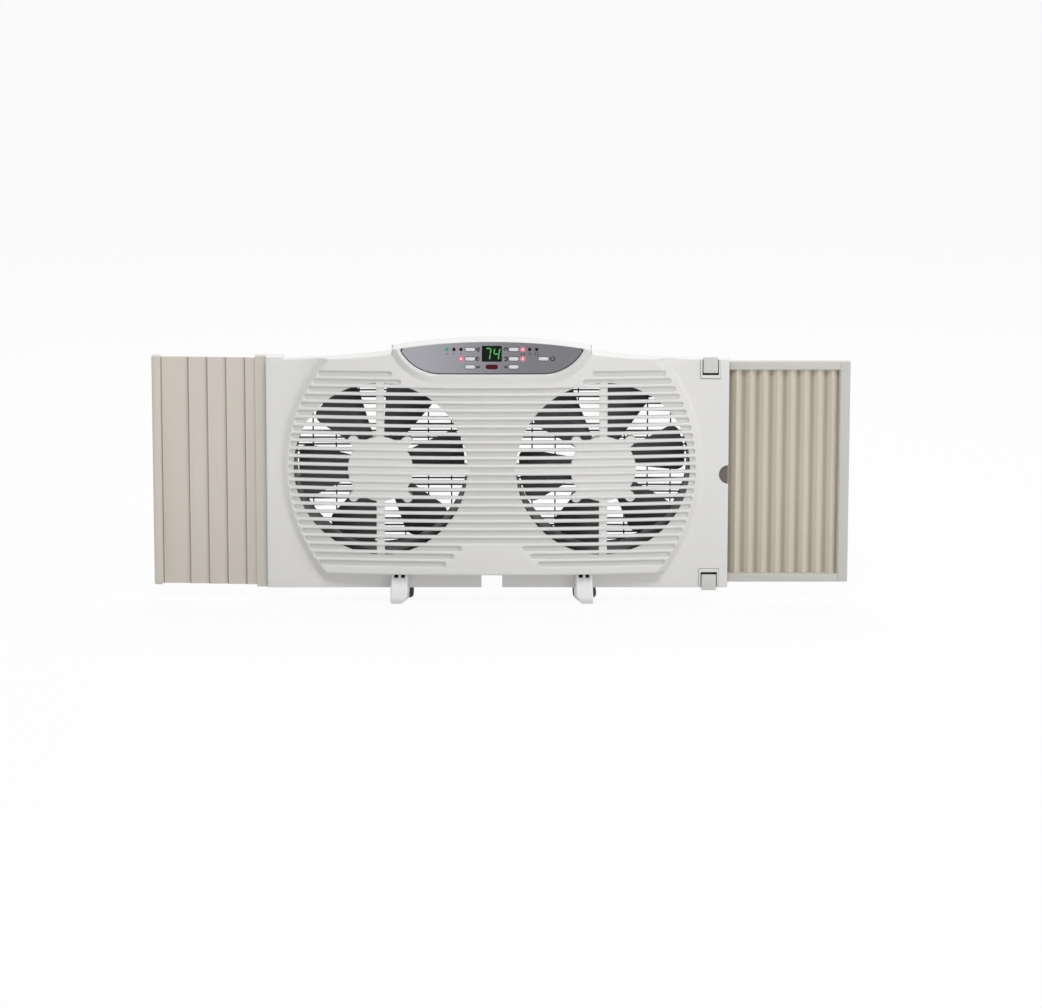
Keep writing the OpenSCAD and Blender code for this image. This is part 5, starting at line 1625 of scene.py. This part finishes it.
# %% Feet
for side, label in SIDES:
    low, high = node_box(label + "_foot")
    middle = (low[0] + high[0]) / 2
    plain, cut = foot_outlines(low, high)
    if in_order(plain) is not plain:
        plain, cut = plain[::-1], cut[::-1]
    ends = [(FOOT_ROUND * (1 - math.sin(t)), FOOT_ROUND * (1 - math.cos(t))) for t in ROLL]
    rows = [(low[0] + step, drawn_in(plain, inset * 0.8)) for inset, step in ends]
    for x in (middle - GRIP_X, middle + GRIP_X):
        rows += [(x - GRIP_HALF, plain), (x - GRIP_HALF, cut), (x + GRIP_HALF, cut), (x + GRIP_HALF, plain)]
    rows += [(high[0] - step, drawn_in(plain, inset * 0.8)) for inset, step in ends[::-1]]
    rings = np.array([np.insert(outline, 0, x, axis=1) for x, outline in rows])
    points = narrowed(rings.reshape(-1, 3), low[0] if side < 0 else high[0], middle, low)
    put(label + "_foot_moulding", points, slab_faces(rings), "housing", "foot_white", foot_plastic,
        nodes=[label + "_foot"], sharp=math.radians(32))
    # A near black sheet in each grip slot is painted shade.
    grips = [rounded_box(x - GRIP_HALF + 0.2, x + GRIP_HALF - 0.2, high[2] - 6.7, high[2] - 0.4, 0.5, 2)
             for x in (middle - GRIP_X, middle + GRIP_X)]
    put_slabs(label + "_foot_grip", [slab_points(grip, Y_FACE - 4.2, Y_FACE - 3.4, 0.05, steps=1) for grip in grips],
              "housing", "foot_white", hole_shade_plastic)
    pad_low, pad_high = node_box(label + "_foot_shoe")
    thin = min(pad_high[1] - pad_low[1], pad_high[2] - pad_low[2])
    pad = rounded_box(pad_low[1], pad_high[1], pad_low[2], pad_high[2], 0.42 * thin, 8)
    put_slabs(label + "_foot_pad", [slab_points(pad, pad_low[0], pad_high[0], 0.4 * thin, axis=0, steps=6)],
              "housing", "shoe_rubber", shoe_rubber, nodes=[label + "_foot_shoe"])
print("feet", round(float(high[0] - low[0]), 1), "wide")

# %% [markdown]
# ## CAD nodes that stay
#
# The mouldings behind the front, the motors and the electronics keep their
# CAD shapes, because little of them shows and their shapes are right. Each
# gets the finish of the real part.

# %% Finishes of the CAD nodes
kept = {
    shell_plastic: ("rear_shell", "rear_plate", "control_cover"),
    guard_plastic: ("rear_guards",),
    ring_plastic: ("left_air_ring", "right_air_ring"),
    motor_metal: ("left_motor_case", "right_motor_case"),
    copper_wire: ("left_stator", "right_stator"),
    bronze: ("left_bearings", "right_bearings"),
    screw_metal: ("left_rotor_shaft", "right_rotor_shaft", "left_impeller_nut", "right_impeller_nut", "motor_screws",
                  "case_screws", "board_screws"),
    module_plastic: ("display_module", "button_switches", "fan_capacitors"),
    board_plastic: ("control_board", "power_board"),
    core_paint: ("transformer",),
    shoe_rubber: ("cord_bush",),
    channel_plastic: ("left_channel", "right_channel"),
    green_lens: ("green_indicator",),
    near_glow: ("red_indicators",),
    dark_lens: ("dark_indicators",),
}
for material, nodes in kept.items():
    for node in nodes:
        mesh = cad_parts[node].data
        mesh.materials.clear()
        mesh.materials.append(material)
print("kept CAD nodes:", sum(map(len, kept.values())))

# %% [markdown]
# ## Camera, floor and light
#
# The photograph looks at the fan from the front and a little from above, with
# a long lens. The lens's shift frames the fan where the photograph has it,
# without turning the camera. One soft lamp high in front gives the bars their
# narrow shadows, a weaker one on the right opens up the dome's flank, and one
# above behind lights the top and the back. An even world fills in. The floor
# and the background are white to the camera only, so they put no extra light
# on the fan, and the floor keeps a faint shadow.

# %% Camera
VIEW_UP = math.radians(10.5)
PITCH = math.radians(8.95)
DISTANCE = 4.6
TARGET = np.array([0, -0.036, 0.141])
camera_data = bpy.data.cameras.new("Camera")
camera_data.lens = 117.5
camera_data.sensor_width = 36
camera_data.shift_x = 0.028
camera_data.shift_y = -0.12
camera = bpy.data.objects.new("Camera", camera_data)
camera.location = TARGET + DISTANCE * np.array([0, -math.cos(VIEW_UP), math.sin(VIEW_UP)])
camera.rotation_euler = (math.pi / 2 - PITCH, 0, 0)
bpy.context.collection.objects.link(camera)
bpy.context.scene.camera = camera
bpy.context.scene.view_settings.view_transform = "Standard"
print("camera at", [round(v, 3) for v in camera.location])

# %% Floor
FLOOR_HALF, FLOOR_Z = 30.0, -0.042
FLOOR_WHITE = 0.93


def seen_directly(tree):
    """One for rays from the camera and for reflections or glass, nothing for rays that carry light."""
    path = tree.nodes.new("ShaderNodeLightPath").outputs
    mirrored = math_node(tree, "MAXIMUM", path["Is Glossy Ray"], path["Is Transmission Ray"])
    return math_node(tree, "MAXIMUM", path["Is Camera Ray"], mirrored)


def white_to_camera(tree, shader_socket, share):
    """Mixes a share of plain white into a shader, for the rays that see it directly."""
    white = tree.nodes.new("ShaderNodeEmission")
    white.inputs["Strength"].default_value = 1.0
    mix = tree.nodes.new("ShaderNodeMixShader")
    tree.links.new(math_node(tree, "MULTIPLY", seen_directly(tree), share), mix.inputs[0])
    tree.links.new(shader_socket, mix.inputs[1])
    tree.links.new(white.outputs[0], mix.inputs[2])
    return mix.outputs[0]


floor_mesh = bpy.data.meshes.new("studio_floor")
corners = [(x * FLOOR_HALF, y * FLOOR_HALF, FLOOR_Z) for x, y in ((-1, -1), (1, -1), (1, 1), (-1, 1))]
floor_mesh.from_pydata(corners, [], [(0, 1, 2, 3)])
floor = bpy.data.objects.new("studio_floor", floor_mesh)
bpy.context.collection.objects.link(floor)
floor_material, tree, shader = new_material("Studio floor")
shader.inputs["Base Color"].default_value = (0.86, 0.86, 0.86, 1)
shader.inputs["Roughness"].default_value = 0.9
shader.inputs["Specular IOR Level"].default_value = 0.1
tree.links.new(white_to_camera(tree, shader.outputs[0], FLOOR_WHITE), tree.nodes["Material Output"].inputs[0])
floor_mesh.materials.append(floor_material)
print("floor at", FLOOR_Z)

# %% World
WORLD_LIGHT, WORLD_SEEN = 0.34, 1.0
world = bpy.data.worlds.new("Studio")
world.use_nodes = True
tree = world.node_tree
sky = tree.nodes["Background"]
sky.inputs["Color"].default_value = (1, 1, 1, 1)
strength = tree.nodes.new("ShaderNodeMapRange")
strength.inputs["To Min"].default_value = WORLD_LIGHT
strength.inputs["To Max"].default_value = WORLD_SEEN
tree.links.new(seen_directly(tree), strength.inputs["Value"])
tree.links.new(strength.outputs["Result"], sky.inputs["Strength"])
bpy.context.scene.world = world
print("world lights at", WORLD_LIGHT, "and is seen at", WORLD_SEEN)

# %% Lamps
AIM = (0, 0, 0.14)
LAMPS = (("Key lamp", (0.2, -2.3, 2.95), 1.1, 55), ("Fill lamp", (2.8, -2.2, 0.8), 1.8, 22),
         ("Rear lamp", (0.3, 1.6, 3.0), 1.8, 54))


def soft_lamp(name, place, size, watts):
    """A square area lamp at a place, turned so that it looks at the middle of the fan."""
    data = bpy.data.lights.new(name, "AREA")
    data.size = size
    data.energy = watts
    lamp = bpy.data.objects.new(name, data)
    lamp.location = place
    x, y, z = np.array(place) - np.array(AIM)
    lamp.rotation_euler = (math.atan2(math.hypot(x, y), z), 0, math.atan2(x, -y))
    bpy.context.collection.objects.link(lamp)


for lamp in LAMPS:
    soft_lamp(*lamp)
print("lamps:", [name for name, *_ in LAMPS])
